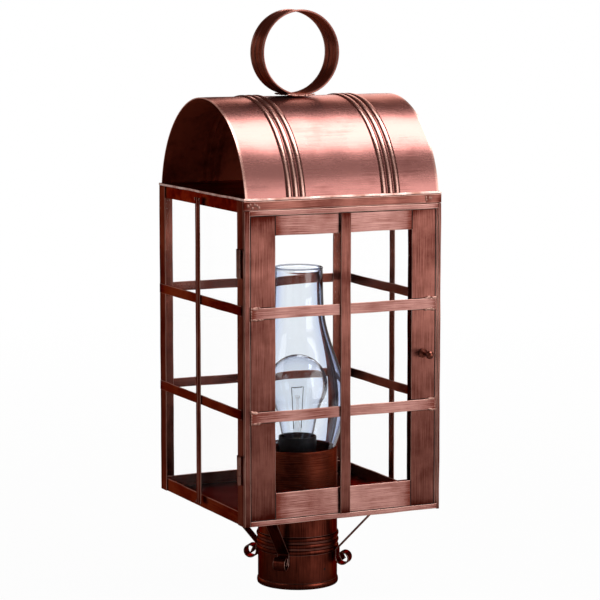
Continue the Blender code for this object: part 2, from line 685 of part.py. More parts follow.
def add_cup_and_socket():
    """The cup on the floor, with the inner ledge that carries the chimney, and the lamp socket."""
    bottom = FLOOR_TOP + FIT
    rim = BODY_Z + CUP_HEIGHT
    ledge = SOCKET_RADIUS + GALLERY_GAP
    low = GALLERY_TOP - GALLERY_THICK
    add_turned("socket_cup", [(CUP_RADIUS, rim), (CUP_RADIUS, bottom), (CUP_INSIDE, bottom), (CUP_INSIDE, low),
                              (ledge, low), (ledge, GALLERY_TOP), (CUP_INSIDE, GALLERY_TOP), (CUP_INSIDE, rim)],
               COPPER)
    mouth = SOCKET_TOP_Z - SOCKET_MOUTH_DEPTH
    bore = THREAD_RADIUS + RUNNING_GAP + THREAD_SHEET + FIT
    floor = SOCKET_BORE_FLOOR
    edge = SHEET
    add_turned("lamp_socket", [(0, floor), (bore, floor), (bore, mouth), (SOCKET_MOUTH_RADIUS, mouth),
                               (SOCKET_MOUTH_RADIUS, SOCKET_TOP_Z), (SOCKET_RADIUS - edge, SOCKET_TOP_Z),
                               (SOCKET_RADIUS, SOCKET_TOP_Z - edge), (SOCKET_RADIUS, bottom), (0, bottom)],
               PHENOLIC, closed=False)
    shell = bore - FIT
    add_turned("socket_screw_shell", [(shell, mouth - FIT), (shell, floor + FIT), (shell - THREAD_SHEET, floor + FIT),
                                      (shell - THREAD_SHEET, mouth - FIT)], BRASS)
    add_turned("socket_contact", [(0, floor + FIT + CONTACT_HEIGHT), (CONTACT_RADIUS, floor + FIT + CONTACT_HEIGHT),
                                  (CONTACT_RADIUS, floor + FIT), (0, floor + FIT)], BRASS, closed=False,
               steps=SMALL_STEPS)


def add_chimney():
    """The glass chimney: foot, belly, waist and a straight flue, standing on the ledge in the cup."""
    axis = add_axis("chimney_axis", (0, 0, CHIMNEY_FOOT_Z))
    belly_side = (CHIMNEY_BELLY_RADIUS + CHIMNEY_FOOT_RADIUS) / 2
    shoulder = (CHIMNEY_BELLY_RADIUS + CHIMNEY_WAIST_RADIUS) / 2
    stations = [(CHIMNEY_TOP_RADIUS, CHIMNEY_HEIGHT), (CHIMNEY_WAIST_RADIUS, CHIMNEY_WAIST_Z),
                (shoulder, (CHIMNEY_WAIST_Z + CHIMNEY_BELLY_Z) / 2), (CHIMNEY_BELLY_RADIUS, CHIMNEY_BELLY_Z),
                (belly_side, (CHIMNEY_BELLY_Z + CHIMNEY_FOOT_HEIGHT) / 2 - CHIMNEY_WALL),
                (CHIMNEY_FOOT_RADIUS, CHIMNEY_FOOT_HEIGHT)]
    outside = smooth_through(stations, CURVE_STEPS) + [(CHIMNEY_FOOT_RADIUS, 0.0)]
    inside = [(radius - CHIMNEY_WALL, height) for radius, height in outside[::-1]]
    add_turned("glass_chimney", outside + inside, CHIMNEY_GLASS, axis)


def add_bulb():
    """The bulb: clear glass, screw base, glass stem and one bent filament wire."""
    axis = add_axis("bulb_axis", (0, 0, SOCKET_TOP_Z))
    centre = BULB_TOP - BULB_RADIUS
    crown = arc_points((0, centre), BULB_RADIUS, 90, BULB_CROWN_END, 3 * CURVE_STEPS)
    throat = [crown[-1], (NECK_RADIUS + NECK_SWELL, NECK_SWELL_Z), (NECK_RADIUS, 0.0),
              (NECK_END_RADIUS, NECK_STRAIGHT - NECK_DEPTH), (NECK_END_RADIUS, -NECK_DEPTH)]
    outside = crown + smooth_through(throat, CURVE_STEPS)[1:]
    inside = []
    for radius, height in outside[:0:-1]:
        away = Vector((radius, height - centre))
        on_crown = height > crown[-1][1]
        inner = away.normalized() * (BULB_RADIUS - BULB_WALL) if on_crown else away - Vector((BULB_WALL, 0))
        inside.append((inner.x, inner.y + centre))
    inside.append((0.0, BULB_TOP - BULB_WALL))
    add_turned("bulb_glass", outside + inside, BULB_GLASS, axis, closed=False)
    floor = SOCKET_BORE_FLOOR - SOCKET_TOP_Z + FIT + CONTACT_HEIGHT + FIT
    rim = BASE_LAP - SOCKET_MOUTH_DEPTH
    cup = NECK_END_RADIUS + FIT
    web = floor + CONTACT_HEIGHT
    add_turned("bulb_base", [(0, web + THREAD_SHEET), (cup, web + THREAD_SHEET), (cup, rim), (THREAD_RADIUS, rim),
                             (THREAD_RADIUS, web), (CONTACT_RADIUS, floor), (0, floor)], BRASS, axis, closed=False)
    stem_low = -NECK_DEPTH + FIT
    flare = NECK_END_RADIUS - BULB_WALL - FIT
    stem_top = stem_low + STEM_HEIGHT
    rod_top = stem_top + ROD_HEIGHT
    profile = [(0, rod_top), (BUTTON_RADIUS, rod_top), (BUTTON_RADIUS, rod_top - BUTTON_RADIUS),
               (ROD_RADIUS, rod_top - BUTTON_RADIUS), (ROD_RADIUS, stem_top), (STEM_RADIUS, stem_top - STEM_RADIUS),
               (STEM_RADIUS, stem_low + STEM_HEIGHT / 3), (flare, stem_low + SHEET), (flare, stem_low), (0, stem_low)]
    add_turned("bulb_stem", profile, BULB_GLASS, axis, closed=False, steps=SMALL_STEPS)
    add_filament(axis, stem_top - 2 * STEM_RADIUS)


def add_filament(axis, low):
    """Lead, filament and lead as one bent wire that stands on the sides of the stem."""
    foot = STEM_RADIUS + FIT + WIRE_RADIUS
    top = low + FILAMENT_RISE + STEM_RADIUS
    half = FILAMENT_SPAN / 2
    route = [(-foot, 0.0, low), (-foot, 0.0, low + STEM_RADIUS), (-half, 0.0, top)]
    for wave in range(1, 2 * FILAMENT_WAVES):
        share = wave / (2 * FILAMENT_WAVES)
        swing = BUTTON_RADIUS if wave % 2 else -BUTTON_RADIUS
        route.append((-half + FILAMENT_SPAN * share, swing, top))
    route += [(half, 0.0, top), (foot, 0.0, low + STEM_RADIUS), (foot, 0.0, low)]
    curve = bpy.data.curves.new("filament", "CURVE")
    curve.dimensions = "3D"
    curve.bevel_depth = WIRE_RADIUS
    curve.bevel_resolution = 1
    curve.use_fill_caps = True
    spline = curve.splines.new("POLY")
    spline.points.add(len(route) - 1)
    for point, place in zip(spline.points, route):
        point.co = (*place, 1.0)
    add_object("filament", curve, TUNGSTEN, axis)


def add_door(axis):
    """The door: stiles with folded edges, rails, pane and glazing bars, all carried by the hinge axis."""
    for name, low, high in (("door_bottom_edge", DOOR_BOTTOM, DOOR_BOTTOM + DOOR_CAP),
                            ("door_top_edge", DOOR_TOP - DOOR_CAP, DOOR_TOP)):
        add_block(name, (LEFT_STILE_X, DOOR_FACE, low), (DOOR_RIGHT, DOOR_BACK, high), COPPER, axis)
    stile = add_block("door_hinge_stile", (DOOR_LEFT + SHEET, STILE_FRONT, STILE_BOTTOM),
                      (LIGHT_LEFT, STILE_BACK, STILE_TOP), COPPER, axis)
    join_block(stile, "hinge_stile_fold", (DOOR_LEFT, DOOR_FACE, DOOR_BOTTOM),
               (DOOR_LEFT + HINGE_EDGE, DOOR_BACK, DOOR_TOP))
    stile = add_block("door_latch_stile", (LIGHT_RIGHT, STILE_FRONT, STILE_BOTTOM),
                      (DOOR_RIGHT - SHEET, STILE_BACK, STILE_TOP), COPPER, axis)
    join_block(stile, "latch_stile_fold", (DOOR_RIGHT - LATCH_EDGE, DOOR_FACE, STILE_BOTTOM),
               (DOOR_RIGHT, DOOR_BACK, STILE_TOP))
    across = Matrix.Translation((KNOB_X, STILE_FRONT, KNOB_Z)) @ Matrix.Rotation(math.pi / 2, 4, "X")
    hole = add_cutter("spindle_hole", rod_mesh("spindle_hole", SPINDLE_RADIUS + RUNNING_GAP, DOOR_THICK * 2), across)
    combine(stile, hole, "DIFFERENCE")
    add_block("door_bottom_rail", (LIGHT_LEFT + FIT, STILE_FRONT, STILE_BOTTOM),
              (LIGHT_RIGHT - FIT, STILE_BACK, LIGHT_BOTTOM), COPPER, axis)
    add_block("door_top_rail", (LIGHT_LEFT + FIT, STILE_FRONT, LIGHT_TOP),
              (LIGHT_RIGHT - FIT, STILE_BACK, STILE_TOP), COPPER, axis)
    pane_front = STILE_BACK + FIT
    add_block("door_glass", (LIGHT_LEFT - DOOR_PANE_LAP, pane_front, LIGHT_BOTTOM - DOOR_PANE_LAP),
              (LIGHT_RIGHT + DOOR_PANE_LAP, pane_front + GLASS_THICK, LIGHT_TOP + DOOR_PANE_LAP), PANE_GLASS, axis)
    bar_back = DOOR_FACE - FIT
    bar_front = bar_back - BAR_SHEET
    for row, height in (("upper", UPPER_BAR_Z), ("lower", LOWER_BAR_Z)):
        low = BODY_Z + height - BAR_WIDTH / 2
        add_block(f"door_{row}_crossbar", (LEFT_STILE_X, bar_front, low),
                  (RIGHT_STILE_X, bar_back, low + BAR_WIDTH), COPPER, axis)
    add_upright("door_centre_bar", (CENTRE_X, bar_front - FIT), -90, STILE_BOTTOM, STILE_TOP, axis)


def add_latch(hinge_axis):
    """The knob on its spindle, and the tongue inside the door that turns behind the corner post."""
    face = STILE_FRONT - FIT
    axis = add_axis("latch_axis", (KNOB_X, face, KNOB_Z))
    axis.parent = hinge_axis
    axis.matrix_parent_inverse = hinge_axis.matrix_world.inverted()
    tongue_front = CAGE_FRONT + SHEET + RUNNING_GAP - face
    inner_end = tongue_front + TONGUE_THICK + SPINDLE_RADIUS
    head = COLLAR_LENGTH + KNOB_STEM
    ball = arc_points((0, 0), 1.0, 90, KNOB_BALL_END, 2 * CURVE_STEPS)
    crown = [(KNOB_RADIUS * across, head + KNOB_LENGTH * (1 + along) / 2) for across, along in ball]
    profile = crown + [(SPINDLE_RADIUS, head), (SPINDLE_RADIUS, COLLAR_LENGTH), (COLLAR_RADIUS, COLLAR_LENGTH),
                       (COLLAR_RADIUS, 0), (SPINDLE_RADIUS, 0), (SPINDLE_RADIUS, -inner_end), (0, -inner_end)]
    knob = add_turned("door_knob", profile, DARK_COPPER, axis, closed=False, steps=SMALL_STEPS)
    knob.rotation_euler = (math.pi / 2, 0, 0)
    half = TONGUE_WIDTH / 2
    tip = arc_points((0, half - TONGUE_LENGTH), half, 180, 360, 2 * CURVE_STEPS)
    root = arc_points((0, 0), half, 0, 180, 2 * CURVE_STEPS)
    tongue = add_prism("latch_tongue", tip + root, TONGUE_THICK, COPPER,
                       Matrix.Translation((0, tongue_front + TONGUE_THICK / 2, 0))
                       @ Matrix.Rotation(math.pi / 2, 4, "X"), axis)
    tongue = as_mesh(tongue)
    place = Matrix.Translation((KNOB_X, face + tongue_front, KNOB_Z)) @ Matrix.Rotation(math.pi / 2, 4, "X")
    hole = add_cutter("tongue_hole", rod_mesh("tongue_hole", SPINDLE_RADIUS + FIT, 6 * TONGUE_THICK), place)
    combine(tongue, hole, "DIFFERENCE")


def hinge_leaf(name, plate_low, plate_high, arm_y, knuckles, parent):
    """A leaf of sheet with rolled knuckles: a plate, an arm to each knuckle, and the pin's bore."""
    leaf = add_block(name, plate_low, plate_high, COPPER, parent)
    for index, (low, high) in enumerate(knuckles):
        middle = (low + high) / 2
        arm_size = Vector((LEAF_SHEET, abs(arm_y - HINGE_Y), high - low))
        arm = add_cutter(f"{name}_arm_{index}", box_mesh(f"{name}_arm_{index}", arm_size),
                         Matrix.Translation((plate_high[0] - LEAF_SHEET / 2, (arm_y + HINGE_Y) / 2, middle)))
        combine(leaf, arm, "UNION")
        barrel = add_cutter(f"{name}_barrel_{index}", rod_mesh(f"{name}_barrel_{index}", KNUCKLE_RADIUS, high - low),
                            Matrix.Translation((HINGE_X, HINGE_Y, middle)))
        combine(leaf, barrel, "UNION")
    bore = add_cutter(name + "_bore", rod_mesh(name + "_bore", PIN_RADIUS + RUNNING_GAP / 2, 2 * HINGE_HEIGHT),
                      Matrix.Translation((HINGE_X, HINGE_Y, (plate_low[2] + plate_high[2]) / 2)))
    combine(leaf, bore, "DIFFERENCE")


def add_hinges(axis):
    """Two hinges: a leaf on the corner post, a leaf on the door's folded edge, and a headed pin."""
    face = -HALF - FIT
    knuckle = (HINGE_HEIGHT - 2 * RUNNING_GAP) / 3
    for row, height in (("upper", UPPER_HINGE_Z), ("lower", LOWER_HINGE_Z)):
        low = BODY_Z + height - HINGE_HEIGHT / 2
        high = low + HINGE_HEIGHT
        post_edge = HINGE_Y + KNUCKLE_RADIUS
        hinge_leaf(f"{row}_hinge_post_leaf", (face - LEAF_SHEET, post_edge, low),
                   (face, post_edge + LEAF_LENGTH, high), post_edge + LEAF_SHEET,
                   [(low, low + knuckle), (high - knuckle, high)], None)
        door_edge = HINGE_Y - KNUCKLE_RADIUS
        hinge_leaf(f"{row}_hinge_door_leaf", (face - LEAF_SHEET, DOOR_FACE, low), (face, door_edge, high),
                   door_edge - LEAF_SHEET,
                   [(low + knuckle + RUNNING_GAP, high - knuckle - RUNNING_GAP)], axis)
        top = high + RUNNING_GAP / 2
        profile = [(0, top + PIN_HEAD_HEIGHT), (PIN_HEAD_RADIUS, top + PIN_HEAD_HEIGHT), (PIN_HEAD_RADIUS, top),
                   (PIN_RADIUS, top), (PIN_RADIUS, low), (0, low)]
        pin = add_turned(f"{row}_hinge_pin", profile, DARK_COPPER, closed=False, steps=SMALL_STEPS)
        pin.location = (HINGE_X, HINGE_Y, 0)


def main():
    """Build the lantern from the floor up."""
    add_floor_pan()
    add_corner_posts()
    add_top_pan()
    add_front_fixed()
    add_side_bars()
    add_side_glass()
    add_roof()
    add_ring()
    add_fitter()
    add_post_stop()
    add_struts()
    add_cup_and_socket()
    add_chimney()
    add_bulb()
    hinge_axis = add_axis("door_hinge_axis", (HINGE_X, HINGE_Y, BODY_Z))
    add_door(hinge_axis)
    add_latch(hinge_axis)
    add_hinges(hinge_axis)


main()
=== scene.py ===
"""Looks of a copper post lantern: brushed antique sheet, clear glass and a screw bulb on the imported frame."""
import math

import bmesh
import bpy
import numpy as np
from bpy.props import FloatProperty, StringProperty
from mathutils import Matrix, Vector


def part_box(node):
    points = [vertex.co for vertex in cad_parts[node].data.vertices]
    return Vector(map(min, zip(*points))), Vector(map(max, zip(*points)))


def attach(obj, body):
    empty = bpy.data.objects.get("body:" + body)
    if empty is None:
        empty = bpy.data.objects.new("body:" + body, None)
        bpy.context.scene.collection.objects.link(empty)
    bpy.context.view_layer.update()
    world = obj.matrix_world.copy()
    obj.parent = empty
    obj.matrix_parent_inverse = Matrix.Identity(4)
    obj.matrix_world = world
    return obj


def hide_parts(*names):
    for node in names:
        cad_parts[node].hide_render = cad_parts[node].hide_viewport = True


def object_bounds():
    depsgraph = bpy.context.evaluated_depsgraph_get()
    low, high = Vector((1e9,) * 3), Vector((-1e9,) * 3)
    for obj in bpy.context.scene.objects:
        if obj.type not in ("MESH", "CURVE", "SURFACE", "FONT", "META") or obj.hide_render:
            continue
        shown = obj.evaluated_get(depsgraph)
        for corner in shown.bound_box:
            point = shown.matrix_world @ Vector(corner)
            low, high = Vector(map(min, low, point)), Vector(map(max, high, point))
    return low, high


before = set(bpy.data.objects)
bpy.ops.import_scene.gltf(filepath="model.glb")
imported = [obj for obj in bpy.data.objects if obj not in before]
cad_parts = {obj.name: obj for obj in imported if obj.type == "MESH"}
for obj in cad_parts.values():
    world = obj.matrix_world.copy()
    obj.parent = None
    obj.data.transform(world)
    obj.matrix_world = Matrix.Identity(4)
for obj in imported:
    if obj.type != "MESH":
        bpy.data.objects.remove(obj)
CAD_BOX = [list(corner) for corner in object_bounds()]
BOX = {name: np.array([list(corner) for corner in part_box(name)]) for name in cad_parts}
X, Y, Z = np.eye(3)
CORNERS = (("front_left", -1, -1), ("front_right", 1, -1), ("back_left", -1, 1), ("back_right", 1, 1))
PROUD = 0.0002       # how far a pan's rolled edges stand out
SEAM = 0.0003        # step between soldered sheets
FINISH = {}          # materials by finish, filled by the first operator

bl_info = {
    "name": "Copper post lantern",
    "version": (1, 0, 0),
    "blender": (4, 5, 0),
    "location": "3D View > Sidebar > Lantern",
    "description": "Builds the finished surfaces of a copper post lantern on its packed frame",
    "category": "Object",
}


class LanternSizes(bpy.types.PropertyGroup):
    """Sizes of the finish that a maker would change."""

    sheet: FloatProperty(name="Sheet", description="Thickness of the copper sheet", default=0.0010, unit="LENGTH")
    worn_edge: FloatProperty(
        name="Worn edge", description="Radius of the edges that handling has rounded", default=0.00045, unit="LENGTH")
    hand_bow: FloatProperty(
        name="Hand bow", description="How far hand-cut strips wander from straight", default=0.00022, unit="LENGTH")
    # Reach of the darkening at a strip's ends, which is patina and painted shade
    end_patina_and_shade: FloatProperty(
        name="End patina", description="How far the dark patina reaches from a strip's soldered ends",
        default=0.0070, unit="LENGTH")
    roof_dents: FloatProperty(
        name="Roof dents", description="Depth of the shallow ripples in the bowed roof", default=0.00030, unit="LENGTH")
    bead_width: FloatProperty(
        name="Bead width", description="Width of a raised bead on the fitter", default=0.0050, unit="LENGTH")
    roof_bead_width: FloatProperty(
        name="Roof bead width", description="Width of a raised bead on the roof", default=0.0066, unit="LENGTH")
    bead_height: FloatProperty(
        name="Bead height", description="Height of a raised bead", default=0.0015, unit="LENGTH")
    roof_bead_pitch: FloatProperty(
        name="Roof bead pitch", description="Distance between the beads of a group", default=0.0071, unit="LENGTH")
    bead_group: FloatProperty(
        name="Bead group", description="Middle of a bead group from the roof's middle", default=0.0505, unit="LENGTH")
    fitter_bead: FloatProperty(
        name="Fitter bead", description="Middle bead of the fitter below the cage", default=0.0410, unit="LENGTH")
    fitter_bead_pitch: FloatProperty(
        name="Fitter bead pitch", description="Distance between the fitter's beads", default=0.0065, unit="LENGTH")
    hinge_fold: FloatProperty(
        name="Hinge fold", description="Folded edge on the door's hinge side", default=0.0058, unit="LENGTH")
    latch_fold: FloatProperty(
        name="Latch fold", description="Folded edge on the door's latch side", default=0.0024, unit="LENGTH")
    stop_depth: FloatProperty(
        name="Stop depth", description="Depth of the strips that hold the door's glass", default=0.0068, unit="LENGTH")
    door_cap: FloatProperty(
        name="Door cap", description="Folded edges along the door's top and bottom", default=0.0053, unit="LENGTH")


class LanternColours(bpy.types.PropertyGroup):
    """Colours of the finish, as sRGB hex values."""

    copper_dark: StringProperty(
        name="Copper shadow", description="Antique copper where the patina is thick", default="#4A170F")
    copper_mid: StringProperty(name="Copper", description="Antique copper where it is brushed", default="#A86D61")
    # Bar colours: a darker copy of the copper, as painted shade on the side and back bars
    bar_dark: StringProperty(
        name="Bar shadow", description="Side and back glazing bars where the patina is thick", default="#421209")
    bar_mid: StringProperty(
        name="Bar", description="Side and back glazing bars where they are brushed", default="#99594B")
    # Rail colours: a paler copy of the copper, as painted light on the door rails
    rail_dark: StringProperty(
        name="Rail shadow", description="Door rails where the patina is thick", default="#6E342A")
    rail_mid: StringProperty(name="Rail", description="Door rails where they are brushed", default="#C4938A")
    # Cup colours: partly the cup's own copper, partly painted light; the roof's inside uses them too
    cup_dark: StringProperty(
        name="Cup shadow", description="Thick patina on the cup below the chimney", default="#4E1107")
    cup_mid: StringProperty(name="Cup", description="Cup below the chimney, where it is rubbed", default="#B4583F")
    roof_dark: StringProperty(
        name="Roof shadow", description="Roof copper where the patina is thick", default="#55251D")
    roof_mid: StringProperty(name="Roof", description="Roof copper where it is brushed", default="#A46E68")
    # Inside colours: partly the unbrushed patina, partly painted shade inside the cage
    inside_dark: StringProperty(
        name="Inside shadow", description="Thick patina on the unbrushed inside", default="#280F0A")
    inside_mid: StringProperty(name="Inside", description="Unbrushed copper inside the cage", default="#48281F")
    fitter_dark: StringProperty(
        name="Fitter shadow", description="Thick patina above and below the cage", default="#330A05")
    fitter_mid: StringProperty(
        name="Fitter", description="Copper above and below the cage, where it is rubbed", default="#8E4535")
    # Edge colour: wear and a painted highlight along edges and bends
    copper_wear_and_highlight: StringProperty(
        name="Copper worn", description="Copper that wear has brightened, along edges", default="#D8AC9F")
    solder: StringProperty(name="Solder", description="Soft solder at the joints", default="#CFA294")


def sizes():
    """The scene's size settings."""
    return bpy.context.scene.lantern_sizes


def colours():
    """The scene's colour settings."""
    return bpy.context.scene.lantern_colours


def linear(hex_colour):
    """Turn an sRGB hex value into linear red, green, blue and alpha."""
    srgb = np.array([int(hex_colour[i:i + 2], 16) for i in (1, 3, 5)]) / 255
    return (*np.where(srgb <= 0.04045, srgb / 12.92, ((srgb + 0.055) / 1.055) ** 2.4).tolist(), 1.0)


def fill(tree, node, **inputs):
    """Fill a node's inputs, by name or as i and a number: a node or socket is linked, and any other value is set."""
    for key, value in inputs.items():
        socket = node.inputs[int(key[1:]) if key[1:].isdigit() else key.replace("_", " ")]
        if isinstance(value, bpy.types.Node):
            value = value.outputs[0]
        if isinstance(value, bpy.types.NodeSocket):
            tree.links.new(value, socket)
        else:
            socket.default_value = value
    return node


def add(tree, kind, settings=None, **inputs):
    """Add one shader node. Settings are its attributes, and its inputs are filled."""
    node = tree.nodes.new("ShaderNode" + kind)
    for key, value in (settings or {}).items():
        setattr(node, key, value)
    return fill(tree, node, **inputs)


def new_material(name):
    """A new material, with its node tree and its shader."""
    material = bpy.data.materials.new(name)
    material.use_nodes = True
    return material, material.node_tree, material.node_tree.nodes["Principled BSDF"]


def grade(ramp, *stops):
    """Give a colour ramp its stops, each a position and an sRGB hex value: both ends first, then any between them."""
    elements = ramp.color_ramp.elements
    for index, (position, hex_colour) in enumerate(stops):
        stop = elements[index] if index < 2 else elements.new(position)
        stop.position = position
        stop.color = linear(hex_colour)
    return ramp


def rounded(points, radius, steps=3, keep=0.0012):
    """Round a closed outline: each corner is a quadratic curve, marked 1, beside flat points marked -1 and then 0."""
    corner = np.asarray(points, float)
    to_before = np.roll(corner, 1, 0) - corner
    to_after = np.roll(corner, -1, 0) - corner
    before = np.linalg.norm(to_before, axis=1, keepdims=True)
    after = np.linalg.norm(to_after, axis=1, keepdims=True)
    # On a short side, curve, dark point and flat point share what is a little under half of it
    room = 0.48 * np.minimum(before, after)
    reach = np.minimum(radius, 0.9 * room)
    flat = np.minimum(radius + keep, 0.96 * room)
    far = np.minimum(radius + 3 * keep, 1.02 * room)
    start = (corner + to_before / before * reach)[:, None]
    end = (corner + to_after / after * reach)[:, None]
    t = np.linspace(0, 1, steps + 1)[None, :, None]
    arc = (1 - t) ** 2 * start + 2 * t * (1 - t) * corner[:, None] + t ** 2 * end
    lead = np.stack([corner + to_before / before * away for away in (far, flat)], 1)
    tail = np.stack([corner + to_after / after * away for away in (flat, far)], 1)
    outline = np.concatenate([lead, arc, tail], axis=1)
    mark = np.ones(outline.shape[:2])
    mark[:, (1, -2)] = -1
    mark[:, (0, -1)] = 0
    return outline.reshape(-1, 2), mark.reshape(-1)


def oblong(half_wide, back, front, *rounding):
    """A rounded oblong of a given half width, from a back to a front height."""
    return rounded([(-half_wide, back), (half_wide, back), (half_wide, front), (-half_wide, front)], *rounding)


def grid_shape(verts, u, v, mark, wrap_u, wrap_v):
    """A grid of points as quads: corner (i, j) joins (i + 1, j + 1), and u and v are lengths along the two ways."""
    rows, cols = verts.shape[:2]
    i, j = np.meshgrid(np.arange(rows if wrap_u else rows - 1), np.arange(cols if wrap_v else cols - 1), indexing="ij")
    i1 = i + 1
    j1 = j + 1
    quads = np.stack([i * cols + j, i1 % rows * cols + j, i1 % rows * cols + j1 % cols, i * cols + j1 % cols], -1)
    uv = np.stack([np.stack([u[a], v[b]], -1) for a, b in ((i, j), (i1, j), (i1, j1), (i, j1))], -2)
    return verts.reshape(-1, 3), quads.reshape(-1, 4), uv.reshape(-1, 2), np.broadcast_to(mark, (rows, cols)).ravel()


def lengths(points, closed):
    """Distance along a chain of points, with the closing stretch added if it is closed."""
    chain = np.concatenate([points, points[:1]]) if closed else points
    return np.concatenate([[0], np.cumsum(np.linalg.norm(np.diff(chain, axis=0), axis=1))])


def smoothed(values, times):
    """Even out a chain of values: each inner one becomes half of itself and a quarter of each neighbour."""
    for _ in range(times):
        values[1:-1] = (values[:-2] + 2 * values[1:-1] + values[2:]) / 4
    return values


def swept(outline, mark, path, across, outward, closed=False, hub=(0.0, 0.0)):
    """Carry an outline along a path: point = path + across * x + outward * y. Open ends close on the hub."""
    path = np.asarray(path, float)
    across = np.broadcast_to(across, path.shape)
    outward = np.broadcast_to(outward, path.shape)
    size = np.ones(len(path))
    if not closed:
        repeat = np.r_[0, np.arange(len(path)), len(path) - 1]
        path, across, outward = path[repeat], across[repeat], outward[repeat]
        size = np.r_[0, size, 0]
    local = np.asarray(hub) + size[:, None, None] * (outline - np.asarray(hub))[None]
    verts = path[:, None] + across[:, None] * local[..., :1] + outward[:, None] * local[..., 1:]
    return grid_shape(verts, lengths(path, closed), lengths(outline, True), mark[None], closed, True)


def turned(profile, steps=96, origin=(0, 0, 0), axis=(X, Y, Z), closed=True):
    """Turn a (radius, height) profile: point = origin + radius * (cos a, sin a) + height * axis. Bends are marked."""
    profile = np.asarray(profile, float)
    angle = np.linspace(0, 2 * np.pi, steps, endpoint=False)
    ring = np.cos(angle)[:, None] * axis[0] + np.sin(angle)[:, None] * axis[1]
    verts = np.asarray(origin, float) + ring[:, None] * profile[None, :, :1] + axis[2] * profile[None, :, 1:]
    step = np.diff(np.concatenate([profile[-1:], profile, profile[:1]]), axis=0)
    way = np.arctan2(step[:, 1], step[:, 0])
    bend = np.abs((np.diff(way) + np.pi) % (2 * np.pi) - np.pi)
    # Wear and a painted highlight start at a bend of half a radian and are full at one radian
    mark = np.clip((bend - 0.5) / 0.5, 0, 1)
    around = np.linspace(0, 2 * np.pi * profile[:, 0].max(), steps + 1)
    return grid_shape(verts, around, lengths(profile, closed), mark[None], True, closed)


def blobs(places, radii, steps=(8, 12)):
    """Flattened drops: unit spheres on a grid of latitude and longitude, scaled by radii and moved to places."""
    lat = np.linspace(-np.pi / 2, np.pi / 2, steps[0] + 1)[:, None]
    lon = np.linspace(0, 2 * np.pi, steps[1], endpoint=False)[None]
    sphere = np.stack([np.cos(lat) * np.cos(lon), np.cos(lat) * np.sin(lon), np.sin(lat) * np.ones_like(lon)], -1)
    unit = np.linspace(0, 1, 16)
    return [grid_shape(np.asarray(place) + sphere * np.asarray(radius), unit, unit, np.zeros((1, 1)), False, True)
            for place, radius in zip(places, radii)]


def bow(distance, seed):
    """The wander of a hand-cut strip: two sine waves, 110 and 47 mm long."""
    return np.sin(distance / 0.0175 + 2.1 * seed) * 0.6 + np.sin(distance / 0.0075 + 3.7 * seed) * 0.4


def piece(name, shapes, finish, nodes=(), body="lantern_body", sharp=35):
    """Put shapes into one closed, outward-facing mesh at the origin that rides on its body and stands for CAD nodes."""
    starts = np.cumsum([0] + [len(shape[0]) for shape in shapes])
    verts = np.concatenate([shape[0] for shape in shapes])
    quads = np.concatenate([shape[1] + start for shape, start in zip(shapes, starts)])
    mesh = bpy.data.meshes.new(name)
    mesh.from_pydata(verts.tolist(), [], quads.tolist())
    layer = mesh.uv_layers.new(name="grain")
    layer.data.foreach_set("uv", np.concatenate([shape[2] for shape in shapes]).ravel())
    edge = mesh.attributes.new("edge", "FLOAT", "POINT")
    edge.data.foreach_set("value", np.concatenate([shape[3] for shape in shapes]).astype(np.float32))
    shell = bmesh.new()
    shell.from_mesh(mesh)
    bmesh.ops.remove_doubles(shell, verts=shell.verts, dist=1e-7)
    bmesh.ops.recalc_face_normals(shell, faces=shell.faces)
    shell.to_mesh(mesh)
    shell.free()
    mesh.shade_smooth()
    mesh.set_sharp_from_angle(angle=math.radians(sharp))
    mesh.materials.append(FINISH[finish])
    item = bpy.data.objects.new(name, mesh)
    bpy.context.scene.collection.objects.link(item)
    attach(item, body)
    if nodes:
        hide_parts(*nodes)
    return item


def dress(finish, *nodes):
    """Give CAD nodes that keep their own shape a finish."""
    for node in nodes:
        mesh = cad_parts[node].data
        mesh.materials.clear()
        mesh.materials.append(FINISH[finish])


def strip(node, face, seed, low=None, high=None, ridge=0.0):
    """A hand-cut strip in a node's box: a rounded oblong, ridged if asked, carried along the longest side and bowed."""
    low = BOX[node][0] if low is None else np.asarray(low, float)
    high = BOX[node][1] if high is None else np.asarray(high, float)
    size = high - low
    front = int(np.argmax(np.abs(face)))
    along = int(np.argmax(size))
    wide = 3 - front - along
    half_wide = size[wide] / 2
    half_thick = size[front] / 2
    crown = half_thick - ridge
    points = [(-half_wide, -half_thick), (half_wide, -half_thick), (half_wide, crown)]
    points += [(0, half_thick)] if ridge else []
    points += [(-half_wide, crown)]
    outline, mark = rounded(points, sizes().worn_edge)
    # One step about every 6 mm
    count = max(4, int(size[along] / 0.006))
    distance = np.linspace(low[along], high[along], count)
    path = np.tile((low + high) / 2, (count, 1))
    path[:, along] = distance
    path[:, wide] += sizes().hand_bow * bow(distance, seed)
    verts, quads, uv, mark = swept(outline, mark, path, np.eye(3)[wide], np.asarray(face, float))
    # Patina at the soldered ends and painted shade where the strips meet darken each end, fading over a few millimetres
    end = np.minimum(distance - low[along], high[along] - distance)
    patina_and_shade = np.exp(-end / sizes().end_patina_and_shade)[np.r_[0, :count, count - 1]][:, None]
    mark = mark.reshape(count + 2, -1)
    mark = np.where(mark > 0.5, mark * (1 - 0.5 * patina_and_shade), mark - 1.2 * patina_and_shade)
    return verts, quads, uv, mark.ravel()


def pan_edges(node, low, high, thick, along, axes, seed):
    """Four strips round a pan's box: each stands proud of one side, is thick inside it and runs along past its ends."""
    shapes = []
    for axis in axes:
        for side, edge in ((-1, low[axis]), (1, high[axis])):
            start = low - (along, along, 0.0)
            end = high + (along, along, PROUD)
            start[axis], end[axis] = sorted((edge + side * PROUD, edge - side * thick))
            shapes.append(strip(node, side * np.eye(3)[axis], seed + len(shapes), start, end))
    return shapes


